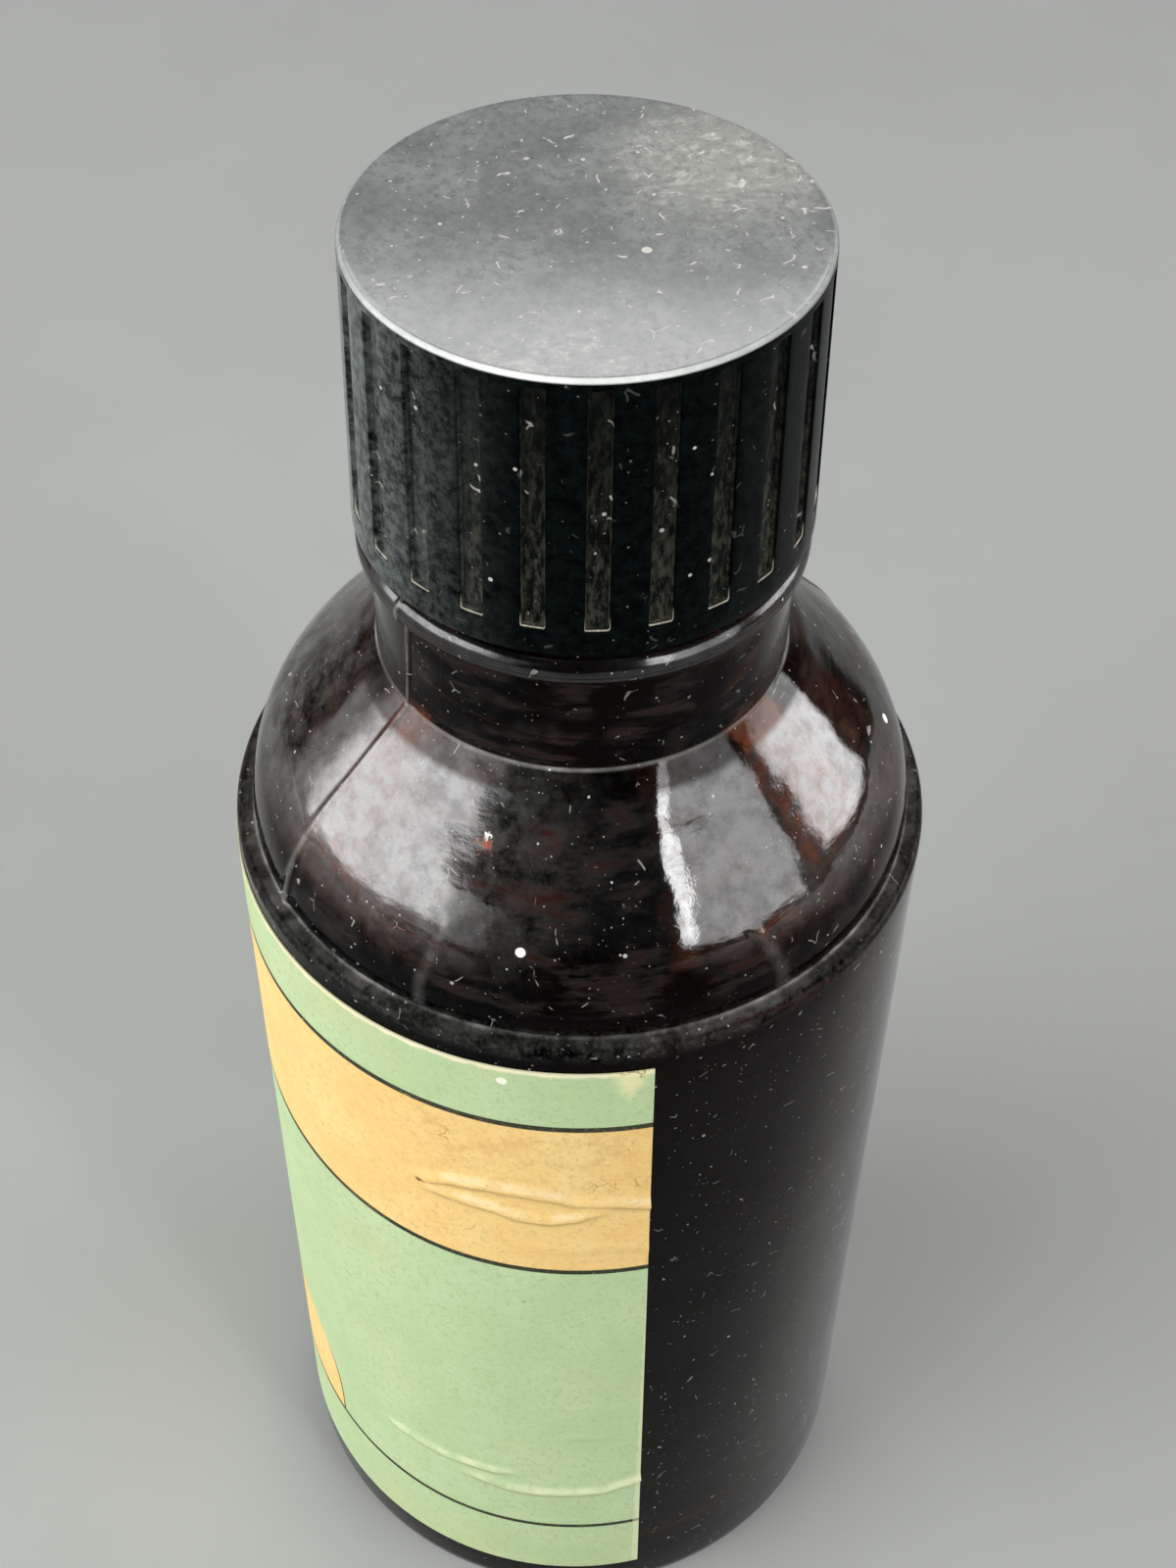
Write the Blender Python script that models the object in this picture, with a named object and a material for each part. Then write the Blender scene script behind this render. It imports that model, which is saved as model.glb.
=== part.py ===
# Tincture bottle of about 118 cc: a round amber glass bottle with a screw finish,
# a moulded screw cap with straight flutes, a two-layer liner in the cap and a paper label.
# Metres, +Z up. The origin is the centre of the base, on the surface that the bottle stands on.
# The label's middle faces -Y.

import math

import bmesh
import bpy

# Glass: body and base
BODY_RADIUS = 0.0245
WALL_THICKNESS = 0.0026
FLOOR_THICKNESS = 0.0038
HEEL_RADIUS = 0.0039
INNER_HEEL_RADIUS = 0.005
BEARING_WIDTH = 0.0018
PUSH_UP = 0.0015
GLASS_COLUMNS = 60

# Glass: stepped shoulder
LEDGE_HEIGHT = 0.0831
STEP_WIDTH = 0.0013
STEP_EDGE_RADIUS = 0.00075
STEP_FILLET_RADIUS = 0.00025
SHOULDER_RADIUS = 0.0128
SHOULDER_SLOPE_DEG = 46.5
SHOULDER_THICKNESS = 0.0028
INNER_SHOULDER_RADIUS = 0.011

# Glass: screw finish
FINISH_RADIUS = 0.0109
FINISH_HEIGHT = 0.0166
FINISH_THICKNESS = 0.003
FINISH_FILLET_RADIUS = 0.0005
LIP_ROUND_RADIUS = 0.0005

# Glass: neck and transfer bead; the neck stands out from the finish, and the bead from the neck
NECK_STAND_OUT = 0.0028
NECK_FILLET_RADIUS = 0.0007
NECK_THICKNESS = 0.0035
NECK_FLARE_HEIGHT = 0.0045
BEAD_STAND_OUT = 0.0009
BEAD_SECTION_RADIUS = 0.00125
LEDGE_TO_BEAD_TOP = 0.0255

# Screw thread, shared by the glass and the cap
THREAD_PITCH = 0.003175
THREAD_DEPTH = 0.00105
THREAD_BASE_WIDTH = 0.0021
THREAD_CREST_WIDTH = 0.0008
THREAD_TURNS = 2
THREAD_RUN_OUT_DEG = 50.0
THREAD_TO_LIP = 0.0022
THREAD_CLEARANCE = 0.0003

# Clearance between pieces that rest on each other
SEAT_GAP = 0.0003

# Cap; its skirt is a taper wider than its top
BEAD_TO_CAP_GAP = 0.00055
CAP_WALL_THICKNESS = 0.00211
CAP_TAPER = 0.00035
CAP_TOP_THICKNESS = 0.0018
CAP_TOP_BEVEL = 0.00035
CAP_RIM_ROUND = 0.0003
CAP_MOUTH_CHAMFER = 0.0004
CAP_CORNER_RADIUS = 0.0006
CAP_BORE_COLUMNS = 60

# Flutes round the cap
FLUTE_COUNT = 24
FLUTE_WIDTH_DEG = 6.0
FLUTE_SIDE_DEG = 0.6
FLUTE_PHASE_DEG = 5.5
FLUTE_DEPTH = 0.00045
FLUTE_END_SLOPE = 0.00015
FLUTE_TOP_MARGIN = 0.0007
FLUTE_SILL = 0.0021

# Liner discs
LINER_EDGE_GAP = 0.0003
FACING_THICKNESS = 0.0003
BACKING_THICKNESS = 0.001
LINER_EDGE_ROUND = 0.0001
LINER_COLUMNS = 60

# Label
LABEL_TO_HEEL = 0.003
LABEL_TO_LEDGE = 0.002
LABEL_COLUMNS = 30
LABEL_THICKNESS = 0.0002

# Outlines as shares of the sizes that they follow
PUSH_UP_RADIUS_SHARES = (0.0, 0.35, 0.7, 0.9, 1.0)
FLARE_SHARES = (0.0, 0.25, 0.5, 0.75, 1.0)

# Radii that follow from the sizes above
BORE_RADIUS = FINISH_RADIUS - FINISH_THICKNESS
NECK_RADIUS = FINISH_RADIUS + NECK_STAND_OUT
BEAD_RADIUS = NECK_RADIUS + BEAD_STAND_OUT
CAP_BORE_RADIUS = FINISH_RADIUS + THREAD_DEPTH + THREAD_CLEARANCE
CAP_TOP_RADIUS = CAP_BORE_RADIUS + CAP_WALL_THICKNESS
CAP_SKIRT_RADIUS = CAP_TOP_RADIUS + CAP_TAPER

# Heights that follow from the sizes above
BEAD_TOP_HEIGHT = LEDGE_HEIGHT + LEDGE_TO_BEAD_TOP
LIP_HEIGHT = BEAD_TOP_HEIGHT + FINISH_HEIGHT
FACING_HEIGHT = LIP_HEIGHT + SEAT_GAP
BACKING_HEIGHT = FACING_HEIGHT + FACING_THICKNESS + SEAT_GAP
CAP_CEILING_HEIGHT = BACKING_HEIGHT + BACKING_THICKNESS + SEAT_GAP
CAP_TOP_HEIGHT = CAP_CEILING_HEIGHT + CAP_TOP_THICKNESS
CAP_FOOT_HEIGHT = BEAD_TOP_HEIGHT + BEAD_TO_CAP_GAP
THREAD_END_HEIGHT = LIP_HEIGHT - THREAD_TO_LIP
THREAD_START_HEIGHT = THREAD_END_HEIGHT - THREAD_PITCH * THREAD_TURNS
LABEL_FOOT_HEIGHT = HEEL_RADIUS + LABEL_TO_HEEL
LABEL_HEAD_HEIGHT = LEDGE_HEIGHT - LABEL_TO_LEDGE


def arc(centre, radius, start, end, steps):
    """Points (r, z) on a circle from one angle to the other, in degrees."""
    angles = [math.radians(start + (end - start) * k / steps) for k in range(steps + 1)]
    return [
        (centre[0] + radius * math.cos(a), centre[1] + radius * math.sin(a)) for a in angles
    ]


def even_angles(count):
    return [math.tau * k / count for k in range(count)]


def add_ring(bm, angles, radii, height):
    """A ring of points; radii is one radius or one for each angle."""
    if not isinstance(radii, list):
        radii = [radii] * len(angles)
    return [
        bm.verts.new((r * math.cos(a), r * math.sin(a), height))
        for a, r in zip(angles, radii)
    ]


def join_rings(bm, first, second):
    count = len(first)
    for k in range(count):
        n = (k + 1) % count
        bm.faces.new((first[k], first[n], second[n], second[k]))


def close_ring(bm, ring, height):
    """A fan of triangles from a ring to a point on the axis."""
    tip = bm.verts.new((0, 0, height))
    count = len(ring)
    for k in range(count):
        bm.faces.new((ring[k], ring[(k + 1) % count], tip))


def turn(bm, angles, profile):
    """Turn a profile of (r, z) points; an end on the axis closes with a fan."""
    on_axis = [r == 0 for r, z in profile]
    rings = [
        add_ring(bm, angles, r, z) for (r, z), closed in zip(profile, on_axis) if not closed
    ]
    for first, second in zip(rings, rings[1:]):
        join_rings(bm, first, second)
    if on_axis[0]:
        close_ring(bm, rings[0], profile[0][1])
    if on_axis[-1]:
        close_ring(bm, rings[-1], profile[-1][1])
    return rings


def run_out(wound, total):
    """The ridge's height along the helix, from 0 to 1: it rises and dies away smoothly."""
    share = min(wound, total - wound) / math.radians(THREAD_RUN_OUT_DEG)
    share = max(0.0, min(1.0, share))
    return share * share * (3 - 2 * share)


def add_thread(bm, angles, below, above, root, side, start_height):
    """Join two rings with a wall that carries one helical ridge.

    side is 1 for a ridge that stands outward and -1 for one that stands inward.
    The rows of points climb with the helix, so the last column meets the first
    one a whole turn further up.
    """
    section = (
        (0, -THREAD_BASE_WIDTH / 2),
        (1, -THREAD_CREST_WIDTH / 2),
        (1, THREAD_CREST_WIDTH / 2),
        (0, THREAD_BASE_WIDTH / 2),
    )
    total = THREAD_TURNS * math.tau - math.tau / len(angles)
    columns = []
    for k, angle in enumerate(angles):
        column = [below[k]]
        for lap in range(THREAD_TURNS):
            wound = angle - angles[0] + lap * math.tau
            height = start_height + THREAD_PITCH * wound / math.tau
            for crest, offset in section:
                radius = root + side * THREAD_DEPTH * crest * run_out(wound, total)
                place = (radius * math.cos(angle), radius * math.sin(angle), height + offset)
                column.append(bm.verts.new(place))
        column.append(above[k])
        columns.append(column)
    for left, right in zip(columns, columns[1:]):
        for k in range(len(left) - 1):
            bm.faces.new((left[k], right[k], right[k + 1], left[k + 1]))
    left, right = columns[-1], columns[0]
    lap = len(section)
    last = len(left) - 1
    bm.faces.new([left[0], *right[: lap + 2], left[1]])
    for k in range(1, last - 1 - lap):
        bm.faces.new((left[k], right[k + lap], right[k + lap + 1], left[k + 1]))
    bm.faces.new([right[last - 1], right[last], *reversed(left[last - 1 - lap :])])


def material(name, colour, roughness, metallic=0.0):
    made = bpy.data.materials.new(name)
    made.use_nodes = True
    shader = made.node_tree.nodes["Principled BSDF"]
    shader.inputs["Base Color"].default_value = (*colour, 1.0)
    shader.inputs["Roughness"].default_value = roughness
    shader.inputs["Metallic"].default_value = metallic
    made.diffuse_color = (*colour, 1.0)
    return made


def place(name, bm, parent, height, look):
    """Make the piece from a mesh drawn in assembly heights, with its origin at that height."""
    bmesh.ops.recalc_face_normals(bm, faces=bm.faces)
    bmesh.ops.translate(bm, verts=bm.verts, vec=(0, 0, -height))
    mesh = bpy.data.meshes.new(name)
    bm.to_mesh(mesh)
    bm.free()
    mesh.shade_smooth()
    mesh.set_sharp_from_angle(angle=math.radians(32))
    mesh.materials.append(look)
    piece = bpy.data.objects.new(name, mesh)
    piece.parent = parent
    piece.location = (0, 0, height - parent.location.z)
    bpy.context.scene.collection.objects.link(piece)
    return piece


def axis_empty(name, height):
    empty = bpy.data.objects.new(name, None)
    empty.location = (0, 0, height)
    bpy.context.scene.collection.objects.link(empty)
    return empty


def glass_outside():
    """Outer profile from the middle of the base up to the foot of the thread."""
    bearing_inner = BODY_RADIUS - HEEL_RADIUS - BEARING_WIDTH
    points = [(bearing_inner * s, PUSH_UP * (1 - s * s)) for s in PUSH_UP_RADIUS_SHARES]
    heel_centre = (BODY_RADIUS - HEEL_RADIUS, HEEL_RADIUS)
    points += arc(heel_centre, HEEL_RADIUS, -90, 0, 6)

    # The step's outer edge is rounded, and a small fillet joins its ledge to the dome.
    edge_centre = (BODY_RADIUS - STEP_EDGE_RADIUS, LEDGE_HEIGHT - STEP_EDGE_RADIUS)
    points += arc(edge_centre, STEP_EDGE_RADIUS, 0, 90, 4)
    dome_radius = BODY_RADIUS - STEP_WIDTH
    fillet_centre = (dome_radius + STEP_FILLET_RADIUS, LEDGE_HEIGHT + STEP_FILLET_RADIUS)
    points += arc(fillet_centre, STEP_FILLET_RADIUS, -90, -180, 2)

    # The dome turns into a cone that runs up to the neck.
    dome_centre = (dome_radius - SHOULDER_RADIUS, LEDGE_HEIGHT + STEP_FILLET_RADIUS)
    tilt = 90 - SHOULDER_SLOPE_DEG
    dome = arc(dome_centre, SHOULDER_RADIUS, 0, tilt, 8)
    points += dome[1:]
    slope = math.radians(SHOULDER_SLOPE_DEG)
    rise = (dome[-1][0] - NECK_RADIUS) * math.tan(slope)
    neck_foot = dome[-1][1] + rise
    set_back = NECK_FILLET_RADIUS * math.tan((math.pi / 2 - slope) / 2)
    fillet_centre = (NECK_RADIUS + NECK_FILLET_RADIUS, neck_foot + set_back)
    points += arc(fillet_centre, NECK_FILLET_RADIUS, 180 + tilt, 180, 3)

    # The bead's section is a half circle that stands out of the neck.
    bead_centre = (BEAD_RADIUS - BEAD_SECTION_RADIUS, BEAD_TOP_HEIGHT - BEAD_SECTION_RADIUS)
    start = math.degrees(math.acos((NECK_RADIUS - bead_centre[0]) / BEAD_SECTION_RADIUS))
    points += arc(bead_centre, BEAD_SECTION_RADIUS, -start, 90, 7)
    fillet_centre = (FINISH_RADIUS + FINISH_FILLET_RADIUS, BEAD_TOP_HEIGHT + FINISH_FILLET_RADIUS)
    points += arc(fillet_centre, FINISH_FILLET_RADIUS, -90, -180, 2)
    points.append((FINISH_RADIUS, THREAD_START_HEIGHT - THREAD_BASE_WIDTH))
    return points, neck_foot


def glass_lip_and_inside(neck_foot):
    """Profile from the head of the thread over the lip and down the inside to the floor."""
    points = [(FINISH_RADIUS, THREAD_END_HEIGHT + THREAD_BASE_WIDTH / 2 + LIP_ROUND_RADIUS / 2)]
    lip_round = LIP_HEIGHT - LIP_ROUND_RADIUS
    points += arc((FINISH_RADIUS - LIP_ROUND_RADIUS, lip_round), LIP_ROUND_RADIUS, 0, 90, 3)
    points += arc((BORE_RADIUS + LIP_ROUND_RADIUS, lip_round), LIP_ROUND_RADIUS, 90, 180, 3)

    # Below the finish the bore widens into the blown neck.
    neck_bore = NECK_RADIUS - NECK_THICKNESS
    for s in FLARE_SHARES:
        widened = s * s * (3 - 2 * s)
        radius = BORE_RADIUS + (neck_bore - BORE_RADIUS) * widened
        points.append((radius, BEAD_TOP_HEIGHT - s * NECK_FLARE_HEIGHT))

    # The inner cone lies one shoulder thickness inside the outer one,
    # and the inner dome touches it and the inner wall.
    tilt = math.radians(90 - SHOULDER_SLOPE_DEG)
    inner_radius = BODY_RADIUS - WALL_THICKNESS
    outward = (math.cos(tilt), math.sin(tilt))
    outer_offset = outward[0] * NECK_RADIUS + outward[1] * neck_foot
    inner_offset = outer_offset - SHOULDER_THICKNESS
    cone_top = (inner_offset - outward[0] * neck_bore) / outward[1]
    points.append((neck_bore, cone_top))
    centre_radius = inner_radius - INNER_SHOULDER_RADIUS
    centre_height = (
        inner_offset - INNER_SHOULDER_RADIUS - outward[0] * centre_radius
    ) / outward[1]
    centre = (centre_radius, centre_height)
    points += arc(centre, INNER_SHOULDER_RADIUS, 90 - SHOULDER_SLOPE_DEG, 0, 5)

    heel_centre = (inner_radius - INNER_HEEL_RADIUS, FLOOR_THICKNESS + INNER_HEEL_RADIUS)
    points += arc(heel_centre, INNER_HEEL_RADIUS, 0, -90, 4)
    for s in reversed(PUSH_UP_RADIUS_SHARES[:-1]):
        points.append((heel_centre[0] * s, FLOOR_THICKNESS + PUSH_UP * (1 - s * s)))
    return points


def build_glass(parent, look):
    bm = bmesh.new()
    angles = even_angles(GLASS_COLUMNS)
    outside, neck_foot = glass_outside()
    below = turn(bm, angles, outside)[-1]
    above = turn(bm, angles, glass_lip_and_inside(neck_foot))[0]
    add_thread(bm, angles, below, above, FINISH_RADIUS, 1, THREAD_START_HEIGHT)
    return place("glass_bottle", bm, parent, 0, look)


def build_cap(parent, look):
    """The cap: bore with its inner thread, then the rim, the fluted side and the top."""
    bm = bmesh.new()
    bore_angles = even_angles(CAP_BORE_COLUMNS)
    start_height = THREAD_START_HEIGHT - THREAD_PITCH / 2
    thread_head = start_height + THREAD_PITCH * THREAD_TURNS + THREAD_BASE_WIDTH / 2
    corner = (CAP_BORE_RADIUS - CAP_CORNER_RADIUS, CAP_CEILING_HEIGHT - CAP_CORNER_RADIUS)
    ceiling = [(0, CAP_CEILING_HEIGHT), *arc(corner, CAP_CORNER_RADIUS, 90, 0, 3)]
    ceiling.append((CAP_BORE_RADIUS, thread_head))
    above = turn(bm, bore_angles, ceiling)[-1]
    mouth = [
        (CAP_BORE_RADIUS, start_height - THREAD_BASE_WIDTH),
        (CAP_BORE_RADIUS, CAP_FOOT_HEIGHT + CAP_MOUTH_CHAMFER),
        (CAP_BORE_RADIUS + CAP_MOUTH_CHAMFER, CAP_FOOT_HEIGHT),
    ]
    mouth_rings = turn(bm, bore_angles, mouth)
    add_thread(bm, bore_angles, mouth_rings[0], above, CAP_BORE_RADIUS, -1, start_height)

    # Four columns for each flute: its two edges and the two corners of its flat floor.
    half = FLUTE_WIDTH_DEG / 2
    inset = half - FLUTE_SIDE_DEG
    angles = []
    depths = []
    for k in range(FLUTE_COUNT):
        middle = FLUTE_PHASE_DEG - 90 + k * 360 / FLUTE_COUNT
        for offset, depth in ((-half, 0), (-inset, FLUTE_DEPTH), (inset, FLUTE_DEPTH), (half, 0)):
            angles.append(math.radians(middle + offset))
            depths.append(depth)

    flute_foot = CAP_FOOT_HEIGHT + FLUTE_SILL
    flute_head = CAP_TOP_HEIGHT - FLUTE_TOP_MARGIN

    def side_radius(height):
        share = (height - CAP_FOOT_HEIGHT) / (CAP_TOP_HEIGHT - CAP_FOOT_HEIGHT)
        return CAP_SKIRT_RADIUS + (CAP_TOP_RADIUS - CAP_SKIRT_RADIUS) * share

    rows = (
        (CAP_FOOT_HEIGHT, CAP_RIM_ROUND, False),
        (CAP_FOOT_HEIGHT + CAP_RIM_ROUND, 0, False),
        (flute_foot, 0, False),
        (flute_foot + FLUTE_END_SLOPE, 0, True),
        (flute_head - FLUTE_END_SLOPE, 0, True),
        (flute_head, 0, False),
        (CAP_TOP_HEIGHT - CAP_TOP_BEVEL, 0, False),
        (CAP_TOP_HEIGHT, CAP_TOP_BEVEL, False),
    )
    rings = []
    for height, inset, fluted in rows:
        radius = side_radius(height) - inset
        radii = [radius - depth if fluted else radius for depth in depths]
        rings.append(add_ring(bm, angles, radii, height))
    for first, second in zip(rings, rings[1:]):
        join_rings(bm, first, second)
    close_ring(bm, rings[-1], CAP_TOP_HEIGHT)

    rim = set(mouth_rings[-1]) | set(rings[0])
    edges = [e for e in bm.edges if e.is_boundary and set(e.verts) <= rim]
    bmesh.ops.bridge_loops(bm, edges=edges)
    return place("screw_cap", bm, parent, CAP_FOOT_HEIGHT, look)


def build_disc(name, parent, look, foot, thickness):
    """A liner disc cut to fit the cap's bore, with its edges eased."""
    bm = bmesh.new()
    radius = CAP_BORE_RADIUS - LINER_EDGE_GAP
    head = foot + thickness
    profile = [
        (0, foot),
        (radius - LINER_EDGE_ROUND, foot),
        (radius, foot + LINER_EDGE_ROUND),
        (radius, head - LINER_EDGE_ROUND),
        (radius - LINER_EDGE_ROUND, head),
        (0, head),
    ]
    turn(bm, even_angles(LINER_COLUMNS), profile)
    return place(name, bm, parent, foot, look)


def build_label(parent, look):
    """A sheet wrapped round the front of the body, flat along each of the body's facets."""
    bm = bmesh.new()
    step = math.tau / GLASS_COLUMNS
    start = -math.pi / 2 - step * LABEL_COLUMNS / 2
    angles = [start + step * k for k in range(LABEL_COLUMNS + 1)]
    inner = BODY_RADIUS + SEAT_GAP
    outer = inner + LABEL_THICKNESS
    corners = (
        (inner, LABEL_FOOT_HEIGHT),
        (outer, LABEL_FOOT_HEIGHT),
        (outer, LABEL_HEAD_HEIGHT),
        (inner, LABEL_HEAD_HEIGHT),
    )
    columns = [
        [bm.verts.new((r * math.cos(a), r * math.sin(a), z)) for r, z in corners]
        for a in angles
    ]
    for left, right in zip(columns, columns[1:]):
        join_rings(bm, left, right)
    bm.faces.new(columns[0])
    bm.faces.new(columns[-1])
    return place("paper_label", bm, parent, LABEL_FOOT_HEIGHT, look)


for old in list(bpy.data.objects):
    bpy.data.objects.remove(old, do_unlink=True)

bottle_axis = axis_empty("bottle_axis", 0)
cap_axis = axis_empty("cap_axis", LIP_HEIGHT)

build_glass(bottle_axis, material("amber_glass", (0.045, 0.016, 0.008), 0.06))
build_label(bottle_axis, material("label_paper", (0.32, 0.46, 0.27), 0.75))
build_disc(
    "liner_facing", cap_axis, material("coated_paper", (0.72, 0.70, 0.64), 0.35),
    FACING_HEIGHT, FACING_THICKNESS,
)
build_disc(
    "liner_backing", cap_axis, material("pulpboard", (0.42, 0.34, 0.24), 0.9),
    BACKING_HEIGHT, BACKING_THICKNESS,
)
build_cap(cap_axis, material("black_phenolic", (0.012, 0.014, 0.015), 0.35))
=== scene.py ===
# Looks of the tincture bottle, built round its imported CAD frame.
# Sizes are in millimetres until a mesh is made. The frame is in metres with +Z up, and the
# middle of the label faces -Y. Azimuths run from the middle of the label towards +X.

import math

import bmesh
import bpy
from mathutils import Matrix, Vector


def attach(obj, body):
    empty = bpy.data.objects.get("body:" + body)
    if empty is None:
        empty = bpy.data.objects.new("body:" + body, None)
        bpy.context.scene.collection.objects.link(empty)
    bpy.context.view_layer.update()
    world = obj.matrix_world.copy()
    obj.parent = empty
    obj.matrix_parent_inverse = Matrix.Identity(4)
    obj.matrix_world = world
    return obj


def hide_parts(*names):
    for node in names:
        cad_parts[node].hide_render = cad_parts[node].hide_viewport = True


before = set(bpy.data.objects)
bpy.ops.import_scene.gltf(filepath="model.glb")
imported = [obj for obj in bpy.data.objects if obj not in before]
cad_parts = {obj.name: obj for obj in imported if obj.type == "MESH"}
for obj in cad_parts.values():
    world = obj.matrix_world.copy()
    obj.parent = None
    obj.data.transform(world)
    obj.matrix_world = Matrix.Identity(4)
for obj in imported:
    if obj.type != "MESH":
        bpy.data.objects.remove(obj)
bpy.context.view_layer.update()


# --------------------------------------------------
# Camera: it stands to the right of the label's middle and looks down on the cap.
# --------------------------------------------------

CAMERA_PLACE = (0.10977201, -0.02534286, 0.20425813)
CAMERA_RIGHT = (0.21792723, 0.97589994, 0.01127053)
CAMERA_UP = (-0.71847396, 0.15260456, 0.67860668)
CAMERA_BACK = (0.66053228, -0.15598445, 0.73441538)
CAMERA_LENS = 53.04

camera_lens = bpy.data.cameras.new("camera")
camera_lens.lens = CAMERA_LENS
camera_lens.clip_start = 0.01
camera = bpy.data.objects.new("camera", camera_lens)
camera_rows = list(zip(CAMERA_RIGHT, CAMERA_UP, CAMERA_BACK, CAMERA_PLACE))
camera.matrix_world = Matrix([*camera_rows, (0, 0, 0, 1)])
bpy.context.scene.collection.objects.link(camera)
bpy.context.scene.camera = camera
bpy.context.scene.view_settings.view_transform = "Standard"


# --------------------------------------------------
# Studio: a plain pale floor, a dim even surround and soft boxes that fade at their edges.
# Tall boxes stand to the left and right of the camera, with a dim panel nearer on the left
# and a narrow bright strip on the right. One more lights the cap's top from behind, and one
# lights the front from above.
# --------------------------------------------------

FLOOR_HALF = 3000.0
FLOOR_DROP = 0.02
FLOOR_COLOUR = (0.445, 0.455, 0.443, 1)
FLOOR_GRAIN_COLOUR = (0.465, 0.476, 0.463, 1)
FLOOR_GRAIN = 60.0
SURROUND_COLOUR = (0.038, 0.038, 0.038, 1)
AIM_HEIGHT = 90.0
# Name, azimuth and elevation of the middles of its two ends, height in degrees, radiance,
# distance, and the shares of its length and of its height over which each edge fades
SOFT_BOXES = (
    ("window_left", (45.0, 20.0), (-32.0, 9.5), 38.0, 6.1, 800.0, (0.26, 0.22)),
    ("panel_left", (54.0, 14.0), (-40.0, 6.0), 44.0, 1.0, 420.0, (0.10, 0.10)),
    ("window_right_near", (111.0, 18.0), (154.0, 13.5), 42.0, 3.4, 800.0, (0.07, 0.12)),
    ("strip_right", (109.5, 21.0), (117.5, 20.0), 42.0, 9.0, 790.0, (0.22, 0.16)),
    ("window_right_far", (160.0, 16.0), (194.0, 8.0), 30.0, 6.8, 800.0, (0.16, 0.20)),
    ("box_behind", (228.0, 39.5), (286.0, 39.5), 13.0, 4.6, 800.0, (0.14, 0.14)),
    ("box_front", (32.0, 62.0), (122.0, 62.0), 22.0, 2.2, 800.0, (0.14, 0.14)),
)


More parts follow.
